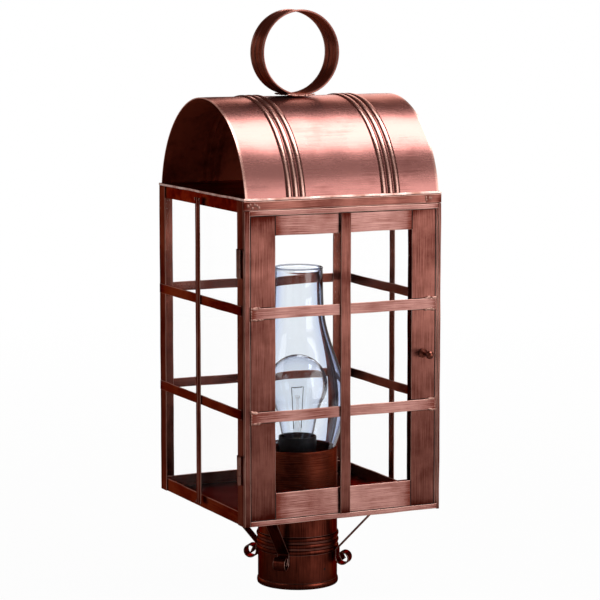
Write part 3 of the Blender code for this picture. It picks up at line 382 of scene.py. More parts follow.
def brushed_copper(name, grain, tone=0.0, coords="UV", gloss=(0.42, 0.28), shades="copper", across=0.0, streaks=0.55,
                   slant_tint="#D09484", spread=(0.34, 0.60)):
    """Sheet copper, darkened and brushed by hand: the eye sees long fine streaks, cloudy patina, and bright edges of
    wear and painted highlight.

    Grain is a streak's size in metres along a piece's path, or round a turned piece, and across that. Streaks is their
    share against the clouds.
    """
    material, tree, shader = new_material(name)
    place = add(tree, "TexCoord").outputs["Object"]
    grain_place = add(tree, "UVMap", {"uv_map": "grain"}).outputs["UV"] if coords == "UV" else place
    # Real grit marks are finer than the grain, and are drawn this coarse to show
    scale = (1 / grain[0], 1 / grain[1], 1 / grain[1])
    stretched = add(tree, "Mapping", Vector=grain_place, Scale=scale)
    streak = add(tree, "TexNoise", Vector=stretched, Scale=1.0, Detail=4.0, Roughness=0.65)
    # Patina clouds about 45 mm across, and finger-sized smears inside them
    cloud = add(tree, "TexNoise", Vector=place, Scale=22.0, Detail=5.0, Roughness=0.6)
    both = add(tree, "Mix", i0=streaks, i2=cloud.outputs[0], i3=streak.outputs[0])
    if coords == "UV":
        worn_and_highlit = add(tree, "Attribute", {"attribute_name": "edge"}).outputs["Fac"]
        # Beside a bright edge the patina stays dark, where the brush doesn't reach. Towards a strip's ends, patina and
        # painted shade darken it too
        patina_and_shade = add(tree, "Math", {"operation": "MINIMUM"}, i0=worn_and_highlit, i1=0.0)
        both = add(tree, "Math", {"operation": "MULTIPLY_ADD"}, i0=patina_and_shade, i1=0.13, i2=both)
    ramp = grade(add(tree, "ValToRGB", Fac=both),
                 (spread[0] + tone, getattr(colours(), shades + "_dark")),
                 (spread[1] + tone, getattr(colours(), shades + "_mid")))
    base = ramp.outputs[0]
    if coords == "UV":
        # Along edges and bends, wear and a painted highlight brighten the copper
        patchy = add(tree, "Math", {"operation": "MULTIPLY"}, i0=worn_and_highlit, i1=cloud)
        wear_and_highlight = add(tree, "Math", {"operation": "MULTIPLY", "use_clamp": True}, i0=patchy, i1=1.35)
        light = linear(colours().copper_wear_and_highlight)
        base = add(tree, "Mix", {"data_type": "RGBA"}, i0=wear_and_highlight, i6=base, i7=light).outputs[2]
    if across:
        fill(tree, shader, Tangent=add(tree, "Tangent", {"direction_type": "UV_MAP", "uv_map": "grain"}))
    sheen = add(tree, "MapRange", Value=both, From_Min=0.3, From_Max=0.7, To_Min=gloss[0], To_Max=gloss[1])
    bump = add(tree, "Bump", Height=streak, Strength=0.35, Distance=0.00012)
    # Hammer marks about 17 mm across
    hammer = add(tree, "TexNoise", Vector=place, Scale=60.0, Detail=2.0)
    dents = add(tree, "Bump", Height=hammer, Strength=0.30, Distance=0.0004, Normal=bump)
    # At a slant the patina keeps the metal brown instead of silvery. Grit marks spread a reflection across the
    # strip, so rails catch the light from above and stiles don't
    fill(tree, shader, Base_Color=base, Metallic=1.0, Roughness=sheen, Normal=dents, Specular_Tint=linear(slant_tint),
         Anisotropic=across, Anisotropic_Rotation=0.25)
    return material


def plain_finish(name, hex_colour, hex_other, roughness, metallic, patch):
    """A finish of two close colours in patches of a given size in metres, with a fine matching bump."""
    material, tree, shader = new_material(name)
    place = add(tree, "TexCoord").outputs["Object"]
    noise = add(tree, "TexNoise", Vector=place, Scale=1 / patch, Detail=3.0, Roughness=0.6)
    ramp = grade(add(tree, "ValToRGB", Fac=noise), (0.35, hex_colour), (0.65, hex_other))
    gloss = add(tree, "MapRange", Value=noise, From_Min=0.3, From_Max=0.7, To_Min=roughness + 0.08,
                To_Max=roughness - 0.05)
    relief = add(tree, "Bump", Height=noise, Strength=0.4, Distance=0.0001)
    fill(tree, shader, Base_Color=ramp, Metallic=metallic, Roughness=gloss, Normal=relief)
    return material


def clear_glass(name, hex_colour, ior, ripple, ripple_size, side, rim):
    """Clear soda-lime glass: the eye sees through it, with a faint tint, slow ripples and sharp reflections."""
    material, tree, shader = new_material(name)
    # Seen edge on, and along the lip, a blown wall is thick, and the eye sees it as a dark blue line. The line is
    # partly the thick wall's tint, partly painted shade
    slant = add(tree, "LayerWeight", Blend=0.5).outputs["Facing"]
    ramp = grade(add(tree, "ValToRGB", Fac=slant), (0.10, hex_colour), (0.96, rim), (0.58, side))
    lip = add(tree, "Attribute", {"attribute_name": "edge"}).outputs["Fac"]
    tint = add(tree, "Mix", {"data_type": "RGBA"}, i0=lip, i6=ramp, i7=linear(rim)).outputs[2]
    place = add(tree, "TexCoord").outputs["Object"]
    wave = add(tree, "TexNoise", Vector=place, Scale=1 / ripple_size, Detail=1.0)
    relief = add(tree, "Bump", Height=wave, Strength=0.25, Distance=ripple)
    fill(tree, shader, Base_Color=tint, Roughness=0.0, IOR=ior, Transmission_Weight=1.0, Normal=relief)
    return material


def thin_glass(name, straight, slanted):
    """Thin clear glass: the eye looks straight through it, and sees a mirror image only at a slant."""
    material, tree, shader = new_material(name)
    slant = add(tree, "LayerWeight", Blend=0.5).outputs["Facing"]
    steep = add(tree, "Math", {"operation": "POWER"}, i0=slant, i1=5.0)
    mirror = add(tree, "Math", {"operation": "MULTIPLY_ADD"}, i0=steep, i1=slanted, i2=straight)
    fill(tree, shader, Base_Color=(1.0, 1.0, 1.0, 1.0), Metallic=1.0, Roughness=0.02, Alpha=mirror)
    return material


class LanternFinishes(bpy.types.Operator):
    """Make the finishes"""

    bl_idname = "lantern.finishes"
    bl_label = "Finishes"

    def execute(self, context):
        # Streaks 45 mm long on hand-brushed strips: drawn 0.45 mm wide
        strokes = (0.045, 0.00045)
        # Posts, stiles and ring: red-brown copper with pink streaks
        FINISH["copper"] = brushed_copper("antique_copper_brushed", strokes, across=0.6, spread=(0.37, 0.62))
        # Door rails: the palest strips, which catch the light from above; their paler colour is also painted light on
        # the same copper
        FINISH["rail"] = brushed_copper("antique_copper_rails_painted_light", strokes, gloss=(0.46, 0.34), shades="rail",
                                        across=0.8, streaks=0.68, spread=(0.38, 0.58))
        # Side and back bars: a deeper red-brown than the door, which is painted shade on the same copper
        FINISH["bar"] = brushed_copper("antique_copper_glazing_bars_painted_shade", strokes, across=0.6, shades="bar",
                                       spread=(0.37, 0.62))
        # Roof: smooth rosy sheet, brushed from end to end, with soft clouds
        FINISH["roof"] = brushed_copper("antique_copper_roof_sheet", (0.0012, 0.050), tone=-0.12, gloss=(0.30, 0.24),
                                        shades="roof", streaks=0.42, slant_tint="#DDBDB5")
        # Inside of the roof: dull orange-red copper without streaks, in the cup's colours, which lift it with painted
        # light
        FINISH["lining"] = brushed_copper("antique_copper_roof_inside_painted_light", (0.03, 0.03), tone=-0.06, coords="Object",
                                          gloss=(0.80, 0.62), shades="cup")
        # Fitter: dark copper, brushed up and down the tube
        FINISH["fitter"] = brushed_copper("antique_copper_fitter", (0.0012, 0.040), tone=0.02, gloss=(0.40, 0.24),
                                          shades="fitter")
        # Straps: the same dark copper, drawn lengthwise, set a little darker as painted shade under the cage
        FINISH["strap"] = brushed_copper("antique_copper_straps_painted_shade", (0.020, 0.0006), tone=0.08, gloss=(0.42, 0.30),
                                         shades="fitter")
        # Top pan: dark copper in broad smears, its dark colour painted shade under the roof
        FINISH["pan"] = brushed_copper("antique_copper_pan_painted_shade", (0.03, 0.01), tone=0.02, coords="Object", shades="fitter")
        # Inside of the cage: dark brown sheet that no brush has reached, its dark partly that patina and partly painted
        # shade
        FINISH["inside"] = brushed_copper("antique_copper_unbrushed_painted_shade", (0.03, 0.03), tone=0.05, coords="Object",
                                          shades="inside")
        # Cup: warm orange-red copper, dull, with fine marks round the wall. Its brighter colours are partly the cup's
        # own copper, partly painted light
        FINISH["cup"] = brushed_copper("antique_copper_cup_painted_light", (0.030, 0.0008), tone=-0.02, gloss=(0.56, 0.42),
                                       shades="cup", spread=(0.40, 0.60))
        # Rolled edge that hands have polished, with a painted highlight along it: bright pink copper with dull spots
        FINISH["worn_and_highlit"] = plain_finish("polished_copper_edge_and_highlight", "#B98578", "#E9CCC3", 0.30, 1.0, 0.012)
        # Tin and lead solder, wiped while hot: small bright lumps with a warm film
        FINISH["solder"] = plain_finish("wiped_solder", colours().solder, "#9C6F64", 0.33, 1.0, 0.004)
        # Oil-darkened copper of the knob and pins: deep brown, with paler wear
        FINISH["dark"] = plain_finish("oil_darkened_copper", "#552820", "#8C5245", 0.33, 1.0, 0.006)
        # Drawn brass of the screw threads: clean yellow metal
        FINISH["brass"] = plain_finish("drawn_brass", "#B9934E", "#D8B873", 0.28, 1.0, 0.008)
        # Moulded phenolic: black, with a dull skin
        FINISH["phenolic"] = plain_finish("moulded_phenolic", "#151519", "#26262C", 0.42, 0.0, 0.003)
        # Rubber of the grommet: black without shine
        FINISH["rubber"] = plain_finish("black_rubber", "#17171A", "#222226", 0.75, 0.0, 0.002)
        # Drawn tungsten and its leads: thin dark grey lines
        FINISH["tungsten"] = plain_finish("drawn_tungsten", "#25252B", "#46464E", 0.40, 1.0, 0.002)
        # Pilot holes and old flux: brown-black, with no shine. In the holes it is painted shade, and along the seams
        # painted shadow with old flux
        FINISH["hole"] = plain_finish("shadowed_hole", "#120604", "#1E0C08", 0.80, 0.0, 0.002)
        # Pressed glass of the stem: clear, with grey outlines where it turns away
        FINISH["stem"] = thin_glass("pressed_stem_glass", 0.10, 0.75)
        # Window glass: hardly seen
        FINISH["pane"] = thin_glass("window_glass", 0.0008, 0.14)
        # Blown glass: clear and faintly blue, with dark blue outlines that are partly painted shade
        FINISH["chimney"] = clear_glass("blown_chimney_glass", "#F7FBFF", 1.47, 0.00005, 0.030, "#D3DFFF", "#1B1F45")
        FINISH["bulb"] = clear_glass("blown_bulb_glass", "#FAFCFF", 1.45, 0.00003, 0.020, "#EFF3FF", "#23274A")
        return {"FINISHED"}


class LanternCage(bpy.types.Operator):
    """Build the cage: posts, pans, header, jamb, glazing bars and panes"""

    bl_idname = "lantern.cage"
    bl_label = "Cage"

    def execute(self, context):
        sheet = sizes().sheet
        for name, side, end in CORNERS:
            node = "corner_post_" + name
            low, high = BOX[node]
            corner = np.array([high[0] if side > 0 else low[0], high[1] if end > 0 else low[1]])
            leg = high[0] - low[0]
            angle = np.array([(0, 0), (leg, 0), (leg, sheet), (sheet, sheet), (sheet, leg), (0, leg)])
            outline, mark = rounded(corner - angle * (side, end), sizes().worn_edge)
            heights = np.linspace(low[2], high[2], 52)
            path = np.stack([sizes().hand_bow * 0.5 * bow(heights, side + 2 * end), 0 * heights, heights], -1)
            hub = corner - np.array((side, end)) * sheet / 2
            post = swept(outline, mark, path, X, Y, hub=hub)
            # Back posts take the darker bar finish, which is painted shade
            piece(node + "_sheet", [post], "copper" if end < 0 else "bar", [node])
        # A thin plate lies on the header's latch end
        low, high = BOX["front_header"]
        plate_length, margin, lift, gap = 0.0165, 0.0004, 0.00035, 0.00002
        plate = strip("front_header", -Y, 2.0, (high[0] - plate_length, low[1] - lift, low[2] + margin),
                      (high[0] - margin, low[1] - gap, high[2] - margin))
        piece("front_header_strip", [strip("front_header", -Y, 1.0), plate], "copper", ["front_header"])
        piece("latch_jamb_strip", [strip("latch_jamb", -Y, 2.0)], "copper", ["latch_jamb"])
        # Side and back bars take the darker bar finish, which is painted shade
        for index, (side, face) in enumerate((("left", -X), ("right", X), ("back", Y))):
            bars = [f"{side}_upper_crossbar", f"{side}_lower_crossbar"]
            shapes = [strip(bar, face, index + 3.0 + k) for k, bar in enumerate(bars)]
            piece(side + "_crossbars", shapes, "bar", bars)
            upright = strip(side + "_upright", face, index + 7.0, ridge=0.0006)
            piece(side + "_upright_bar", [upright], "bar", [side + "_upright"])
        # Floor pan and post stop take the dark inside finish, partly painted shade
        dress("inside", "floor_pan", "post_stop")
        dress("pan", "top_pan")
        # A bright rim round the top pan: polished copper with a painted highlight
        rim_height, rim_thick = 0.0022, 0.0012
        low, high = BOX["top_pan"].copy()
        low[2] = high[2] - rim_height
        piece("top_pan_rim_worn_and_highlit", pan_edges("top_pan", low, high, rim_thick, 0.0, (1, 0), 1.0), "worn_and_highlit")
        # The floor pan's edges take the darker bar finish, which is painted shade
        low, high = BOX["floor_pan"]
        piece("floor_pan_edges", pan_edges("floor_pan", low, high, sheet + PROUD, PROUD, (0, 1), 5.0), "bar")
        dress("pane", "left_glass", "right_glass", "back_glass", "door_glass")
        return {"FINISHED"}


class LanternRoof(bpy.types.Operator):
    """Build the barrel roof and the lifting ring"""

    bl_idname = "lantern.roof"
    bl_label = "Roof and ring"

    def execute(self, context):
        low, high = BOX["roof_barrel"]
        half = (high[0] - low[0]) / 2
        wall = sizes().sheet
        inset = 0.0020
        chord = BOX["top_pan"][1][1] - inset
        top = high[2] - sizes().bead_height
        rise = top - low[2]
        radius = (chord ** 2 + rise ** 2) / (2 * rise)
        centre = top - radius
        half_angle = math.acos((radius - rise) / radius)
        # Each bead is a low round arch across the sheet
        rings = np.array([s * sizes().bead_group + k * sizes().roof_bead_pitch for s in (-1, 1) for k in (-1, 0, 1)])
        half_bead = sizes().roof_bead_width / 2
        arch = 0.9 * sizes().bead_height
        close = (rings[:, None] + np.linspace(-1.0, 1.0, 25) * half_bead).ravel()
        lip = half - np.array([0.0003, 0.0008])
        x = np.unique(np.r_[np.linspace(-half, half, 70), close, lip, -lip])
        off = np.abs(x[:, None] - rings) / half_bead
        bead = (arch * np.clip(1 - off ** 2, 0, 1) ** 0.75).sum(1)
        outline = np.concatenate([np.stack([x, bead], -1), np.stack([x, bead - wall], -1)[::-1]])
        # Painted highlight and wear brighten the beads' crests and the last millimetre at both ends
        crest_highlight = np.clip(bead / arch, 0, 1) ** 3
        ends = (half - np.abs(x) < 0.0010).astype(float)
        mark = np.r_[np.maximum(crest_highlight, ends), ends[::-1]]
        angle = np.linspace(-half_angle, half_angle, 120)
        out = np.stack([0 * angle, np.sin(angle), np.cos(angle)], -1)
        shape = swept(outline, mark, out * radius + (0, 0, centre), X, out)
        # Dents: crossed sine waves along and round the bow, pressed inwards and faded out at the eaves
        verts = shape[0]
        turn = np.arctan2(verts[:, 1], verts[:, 2] - centre)
        ripple = np.sin(verts[:, 0] / 0.011 + 2.3 * turn) * np.sin(turn * 5.0 + verts[:, 0] / 0.021)
        ripple += 0.7 * np.sin(verts[:, 0] / 0.027 - 3.1 * turn + 1.0)
        inward = np.stack([0 * turn, -np.sin(turn), -np.cos(turn)], -1)
        fade = np.clip((half_angle - np.abs(turn)) / 0.12, 0, 1)
        shape = (verts + inward * (sizes().roof_dents * 0.5 * (1.7 + ripple) * fade)[:, None], *shape[1:])
        sheet = piece("roof_barrel_sheet", [shape], "roof", ["roof_barrel"], sharp=50).data
        # Faces that look towards the roof's axis are the unbrushed inside, lifted with painted light in the cup's
        # colours
        sheet.materials.append(FINISH["lining"])
        middle, normal = np.empty((2, len(sheet.polygons), 3), np.float32)
        sheet.polygons.foreach_get("center", middle.reshape(-1))
        sheet.polygons.foreach_get("normal", normal.reshape(-1))
        inner = ((middle - (0, 0, centre)) * normal)[:, 1:].sum(1) < -0.3 * radius
        sheet.polygons.foreach_set("material_index", inner.astype(np.int32))

        low, high = BOX["ring_handle"]
        middle = (low + high) / 2
        width = (high[1] - low[1]) / 2
        roll, roll_reach = 0.0006, 0.0015
        outer = (high[0] - low[0]) / 2 - roll
        # Band with a rolled lip along each edge, and a pressed groove, a bell curve, about 10 mm in from each edge
        y = np.linspace(-width, width, 61)
        lip = roll * np.sqrt(np.clip(1 - ((width - np.abs(y) - roll_reach) / roll_reach) ** 2, 0, 1))
        groove = 0.0008 * np.exp(-((y - width + 0.0105) / 0.0009) ** 2)
        groove += 0.0004 * np.exp(-((y + width - 0.0100) / 0.0012) ** 2)
        face = lip - groove
        back = np.minimum(face, 0) - wall - lip * 0.5
        outline = np.concatenate([np.stack([y, face], -1), np.stack([y, back], -1)[::-1]])
        mark = np.clip(lip / roll, 0, 1)
        angle = np.linspace(0, 2 * np.pi, 128, endpoint=False)
        out = np.stack([np.cos(angle), 0 * angle, np.sin(angle)], -1)
        # The real ring is a little taller than it is wide
        path = middle + out * (0.992, 1.0, 1.0) * outer
        piece("lifting_ring", [swept(outline, np.r_[mark, mark[::-1]], path, Y, out, closed=True)], "copper",
              ["ring_handle"])
        # Solder at the ring's foot: two rows of small lumps that rise with the ring on both sides
        ridge = low[2] - 0.0002
        rng = np.random.default_rng(4)
        lumps = [(middle[0] + 0.0135 * s + rng.normal(0, 0.0005), end * width * 0.98, ridge + 0.0013 * s * s)
                 for end in (-1, 1) for s in np.linspace(-1, 1, 23)]
        radii = [(0.0014 + 0.0005 * rng.random(), 0.0011, 0.0007 + 0.0004 * rng.random()) for _ in lumps]
        piece("ring_solder_fillet", blobs(lumps, radii, (6, 8)), "solder")
        return {"FINISHED"}


class LanternDoor(bpy.types.Operator):
    """Build the door: folded stiles, rails, glazing bars, hinges, knob and latch"""

    bl_idname = "lantern.door"
    bl_label = "Door"

    def execute(self, context):
        cap = sizes().door_cap
        thin = sizes().sheet
        for node, fold, side in (("door_hinge_stile", sizes().hinge_fold, -1),
                                 ("door_latch_stile", sizes().latch_fold, 1)):
            # A folded edge, and beside it a plate that lies a step deeper
            low, high = BOX[node]
            fold_low, fold_high = BOX[node].copy()
            plate_low = low + (0.0, SEAM, 0.0)
            plate_high = np.array([high[0], low[1] + SEAM + thin, high[2]])
            if side < 0:
                fold_high[0] = low[0] + fold
                plate_low += (fold + SEAM, 0.0, cap)
                plate_high[2] -= cap
            else:
                fold_low[0] = high[0] - fold
                plate_high[0] -= fold + SEAM
            shapes = [strip(node, -Y, side + 4.0, fold_low, fold_high),
                      strip(node, -Y, side + 9.0, plate_low, plate_high)]
            piece(node + "_sheet", shapes, "copper", [node], "door")
        # Door edges, rails and crossbars take the paler rail finish, which is painted light
        for index, name in enumerate(("door_top_edge", "door_bottom_edge", "door_top_rail", "door_bottom_rail",
                                      "door_upper_crossbar", "door_lower_crossbar")):
            piece(name + "_sheet", [strip(name, -Y, index * 1.3)], "rail", [name], "door")
        piece("door_centre_bar_sheet", [strip("door_centre_bar", -Y, 5.0)], "copper", ["door_centre_bar"], "door")
        # Stops that hold the glass from inside: thin strips on edge, set back a little behind the opening's sides.
        # Their dark inside finish is partly painted shade behind the door's frame
        setback = 0.0008
        left, right = BOX["door_hinge_stile"][1][0] - setback - thin, BOX["door_latch_stile"][0][0] + setback
        bottom, top = BOX["door_bottom_rail"][1][2] - setback - thin, BOX["door_top_rail"][0][2] + setback
        near = BOX["door_glass"][1][1] + 0.0001
        far = near + sizes().stop_depth
        stops = [strip("door_glass", -Y, 3.0 + x, (x, near, bottom), (x + thin, far, top + thin))
                 for x in (left, right)]
        stops += [strip("door_glass", -Y, 6.0 + z, (left + thin, near, z), (right, far, z + thin))
                  for z in (bottom, top)]
        piece("door_glass_stops", stops, "inside", body="door")
        # Hinges: flat leaves with rolled knuckles, two on the post and one between them on the door
        leaf_thick, clear, gap = 0.0010, 0.0012, 0.0004
        bore, shoulder, roll, bevel = 0.0013, 0.0020, 0.0022, 0.0002
        for row in ("upper", "lower"):
            pin = BOX[row + "_hinge_pin"].mean(0)
            for leaf, body, side in (("post", "lantern_body", 1), ("door", "door", -1)):
                node = f"{row}_hinge_{leaf}_leaf"
                low, high = BOX[node]
                inner = high[0]
                knuckle = (high[2] - low[2] - 2 * gap) / 3
                near, far = (pin[1] + clear, high[1]) if side > 0 else (low[1], pin[1] - clear)
                shapes = [strip(node, -X, side, (inner - leaf_thick, near, low[2]), (inner, far, high[2]))]
                rolls = ((low[2], low[2] + knuckle), (high[2] - knuckle, high[2]))
                rolls = rolls if side > 0 else ((low[2] + knuckle + gap, high[2] - knuckle - gap),)
                for start, end in rolls:
                    profile = [(bore, start), (shoulder, start), (roll, start + bevel), (roll, end - bevel),
                               (shoulder, end), (bore, end)]
                    shapes.append(turned(profile, 28, (pin[0], pin[1], 0.0)))
                # Hinge leaves take the darker bar finish, which is painted shade
                piece(node + "_rolled", shapes, "bar", [node], body)
        # The latch tongue takes the dark inside finish, partly painted shade
        dress("inside", "latch_tongue")
        dress("dark", "upper_hinge_pin", "lower_hinge_pin")
        # Knob: a turned ball on a waisted stem with a collar, and a plain spindle behind it
        low, high = BOX["door_knob"]
        middle = (low + high) / 2
        length = high[1] - low[1]
        collar = (high[0] - low[0]) / 2
        ball_wide, ball_deep, spindle = 0.0041, 0.0040, 0.0020
        foot = length - 0.0183
        t = np.linspace(0, np.pi * 0.86, 16)
        ball = np.stack([ball_wide * np.sin(t), length - ball_deep + ball_deep * np.cos(t)], -1)
        stem = [(0.0022, length - 0.0086), (0.0019, length - 0.0095), (0.0019, foot + 0.0026), (0.0030, foot + 0.0019),
                (collar, foot + 0.0012), (collar, foot + 0.0004), (collar - 0.0004, foot), (spindle, foot),
                (spindle, 0.0), (0.0, 0.0)]
        profile = np.concatenate([ball, stem])
        profile[0, 0] = 0.0
        knob = turned(profile, 40, (middle[0], high[1], middle[2]), (X, Z, -Y), closed=False)
        piece("door_knob_turned", [knob], "dark", ["door_knob"], "latch")
        return {"FINISHED"}


class LanternFitter(bpy.types.Operator):
    """Build the post fitter and its scrolled straps"""

    bl_idname = "lantern.fitter"
    bl_label = "Fitter and straps"

    def execute(self, context):
        low, high = BOX["fitter_tube"]
        bore = 0.0390
        outer = bore + sizes().sheet
        underside = high[2] + SEAM
        # Beads are half rounds at three heights, and the hem a rounded roll along the lower edge
        hem_out, hem_half, bevel = 0.0010, 0.0030, 0.0003
        z = np.linspace(high[2], low[2] + 0.0002, 260)
        bead_z = underside - sizes().fitter_bead - np.array([-1, 0, 1]) * sizes().fitter_bead_pitch
        off = np.abs(z[:, None] - bead_z) / (sizes().bead_width / 2)
        bead = (sizes().bead_height * np.sqrt(np.clip(1 - off ** 2, 0, 1))).sum(1)
        hem = hem_out * np.sqrt(np.clip(1 - ((z - low[2] - hem_half) / hem_half) ** 2, 0, 1))
        wall = np.stack([outer + bead + hem, z], -1)
        inside = [(outer, low[2]), (bore + bevel, low[2]), (bore, low[2] + bevel), (bore, high[2])]
        piece("fitter_tube_spun", [turned(np.concatenate([wall, inside]), 128)], "fitter", ["fitter_tube"])
        # Pilot holes show as shallow dark discs at the solids' three holes: the dark is painted shade of the holes'
        # depth
        hole_radius, hole_drop, sunk = 0.0012, 0.0660, 0.00033
        disc = [(0.0, 0.0004), (hole_radius, 0.0004), (hole_radius, -0.0006), (0.0, -0.0006)]
        holes = []
        for turn in np.radians([17, 137, 257]):
            out = np.array([math.sin(turn), -math.cos(turn), 0.0])
            place = out * (outer - sunk) + Z * (underside - hole_drop)
            holes.append(turned(disc, 20, place, (np.cross(Z, out), Z, out), closed=False))
        piece("pilot_holes", holes, "hole")
        # Straps: in under the floor, down to the fitter, then an outward scroll. The scroll is a circle whose radius
        # falls from 6.9 to 5.6 mm over 310 degrees, with a tail to its middle
        half_wide, half_thick = 0.00625, 0.0006
        scroll, shrink, scroll_z = 0.0069, 0.0013, -0.0550
        touch = outer + sizes().bead_height + SEAM + half_thick
        under = high[2] - half_thick
        share = np.linspace(0, 1, 40)
        angle = np.pi + np.radians(310) * share
        radius = scroll - shrink * share
        roll = np.stack([touch + scroll + radius * np.cos(angle), scroll_z + radius * np.sin(angle)], -1)
        run = np.linspace((0.0860, under), (touch, -0.0465), 14)
        tail = [(touch + 0.0058, -0.0562), (touch + scroll, -0.0575)]
        line = np.concatenate([[(0.0980, under), (0.0920, under)], run, [(touch, -0.0510)], roll, tail])
        way = np.gradient(line, axis=0)
        way /= np.linalg.norm(way, axis=1, keepdims=True)
        outline, mark = oblong(half_wide, -half_thick, half_thick, 0.0004)
        for name, side, end in CORNERS:
            radial = np.array([side, end, 0.0]) / math.sqrt(2)
            path = line[:, :1] * radial + line[:, 1:] * Z
            normal = way[:, 1:] * radial - way[:, :1] * Z
            strap = swept(outline, mark, path, np.cross(Z, radial), normal)
            piece("strap_" + name, [strap], "strap", ["strut_" + name])
        dress("rubber", "wire_grommet")
        return {"FINISHED"}


def line_of_flux_and_shadow(start, end, face):
    """A thin raised line along a seam: a rounded oblong carried from start to end."""
    half_wide, proud, soft = 0.00045, 0.00022, 0.0001
    start, end, face = (np.asarray(item, float) for item in (start, end, face))
    along = (end - start) / np.linalg.norm(end - start)
    outline, mark = oblong(half_wide, -proud, proud, soft, 2, soft)
    path = start + np.linspace(0, 1, 12)[:, None] * (end - start)
    return swept(outline, mark, path, np.cross(face, along), face)


class LanternSeams(bpy.types.Operator):
    """Add dark lines along the door's seams: old flux, and painted shadow along the edges of the bars and stiles"""

    bl_idname = "lantern.seams"
    bl_label = "Seams"

    def execute(self, context):
        left, right = BOX["door_hinge_stile"], BOX["door_latch_stile"]
        top, bottom = BOX["door_top_rail"], BOX["door_bottom_rail"]
        light = (left[1][0], right[0][0])
        plate = left[0][1] + SEAM
        beside, past = 0.0004, 0.0001
        outer = (left[0][0] + sizes().hinge_fold + beside, right[1][0] - sizes().latch_fold - beside)
        seams = [((x, plate, rail[0][2]), (x, plate, rail[1][2])) for x in light for rail in (top, bottom)]
        seams += [((x, plate, bottom[0][2]), (x, plate, top[1][2])) for x in outer]
        seams += [((outer[0], plate, z), (outer[1], plate, z)) for z in (bottom[0][2] - past, top[1][2] + past)]
        for row in ("upper", "lower"):
            low, high = BOX[f"door_{row}_crossbar"]
            for x0, x1 in ((outer[0], light[0]), (light[1], outer[1])):
                seams += [((x0, plate, z), (x1, plate, z)) for z in (low[2] - SEAM, high[2] + SEAM)]
        low, high = BOX["door_centre_bar"]
        for rail in (top, bottom):
            seams += [((x, plate, rail[0][2]), (x, plate, rail[1][2])) for x in (low[0] - SEAM, high[0] + SEAM)]
        # Dark lines of old flux and painted shadow along the seams
        piece("door_seam_flux_and_shadow", [line_of_flux_and_shadow(*seam, -Y) for seam in seams], "hole", body="door")
        return {"FINISHED"}


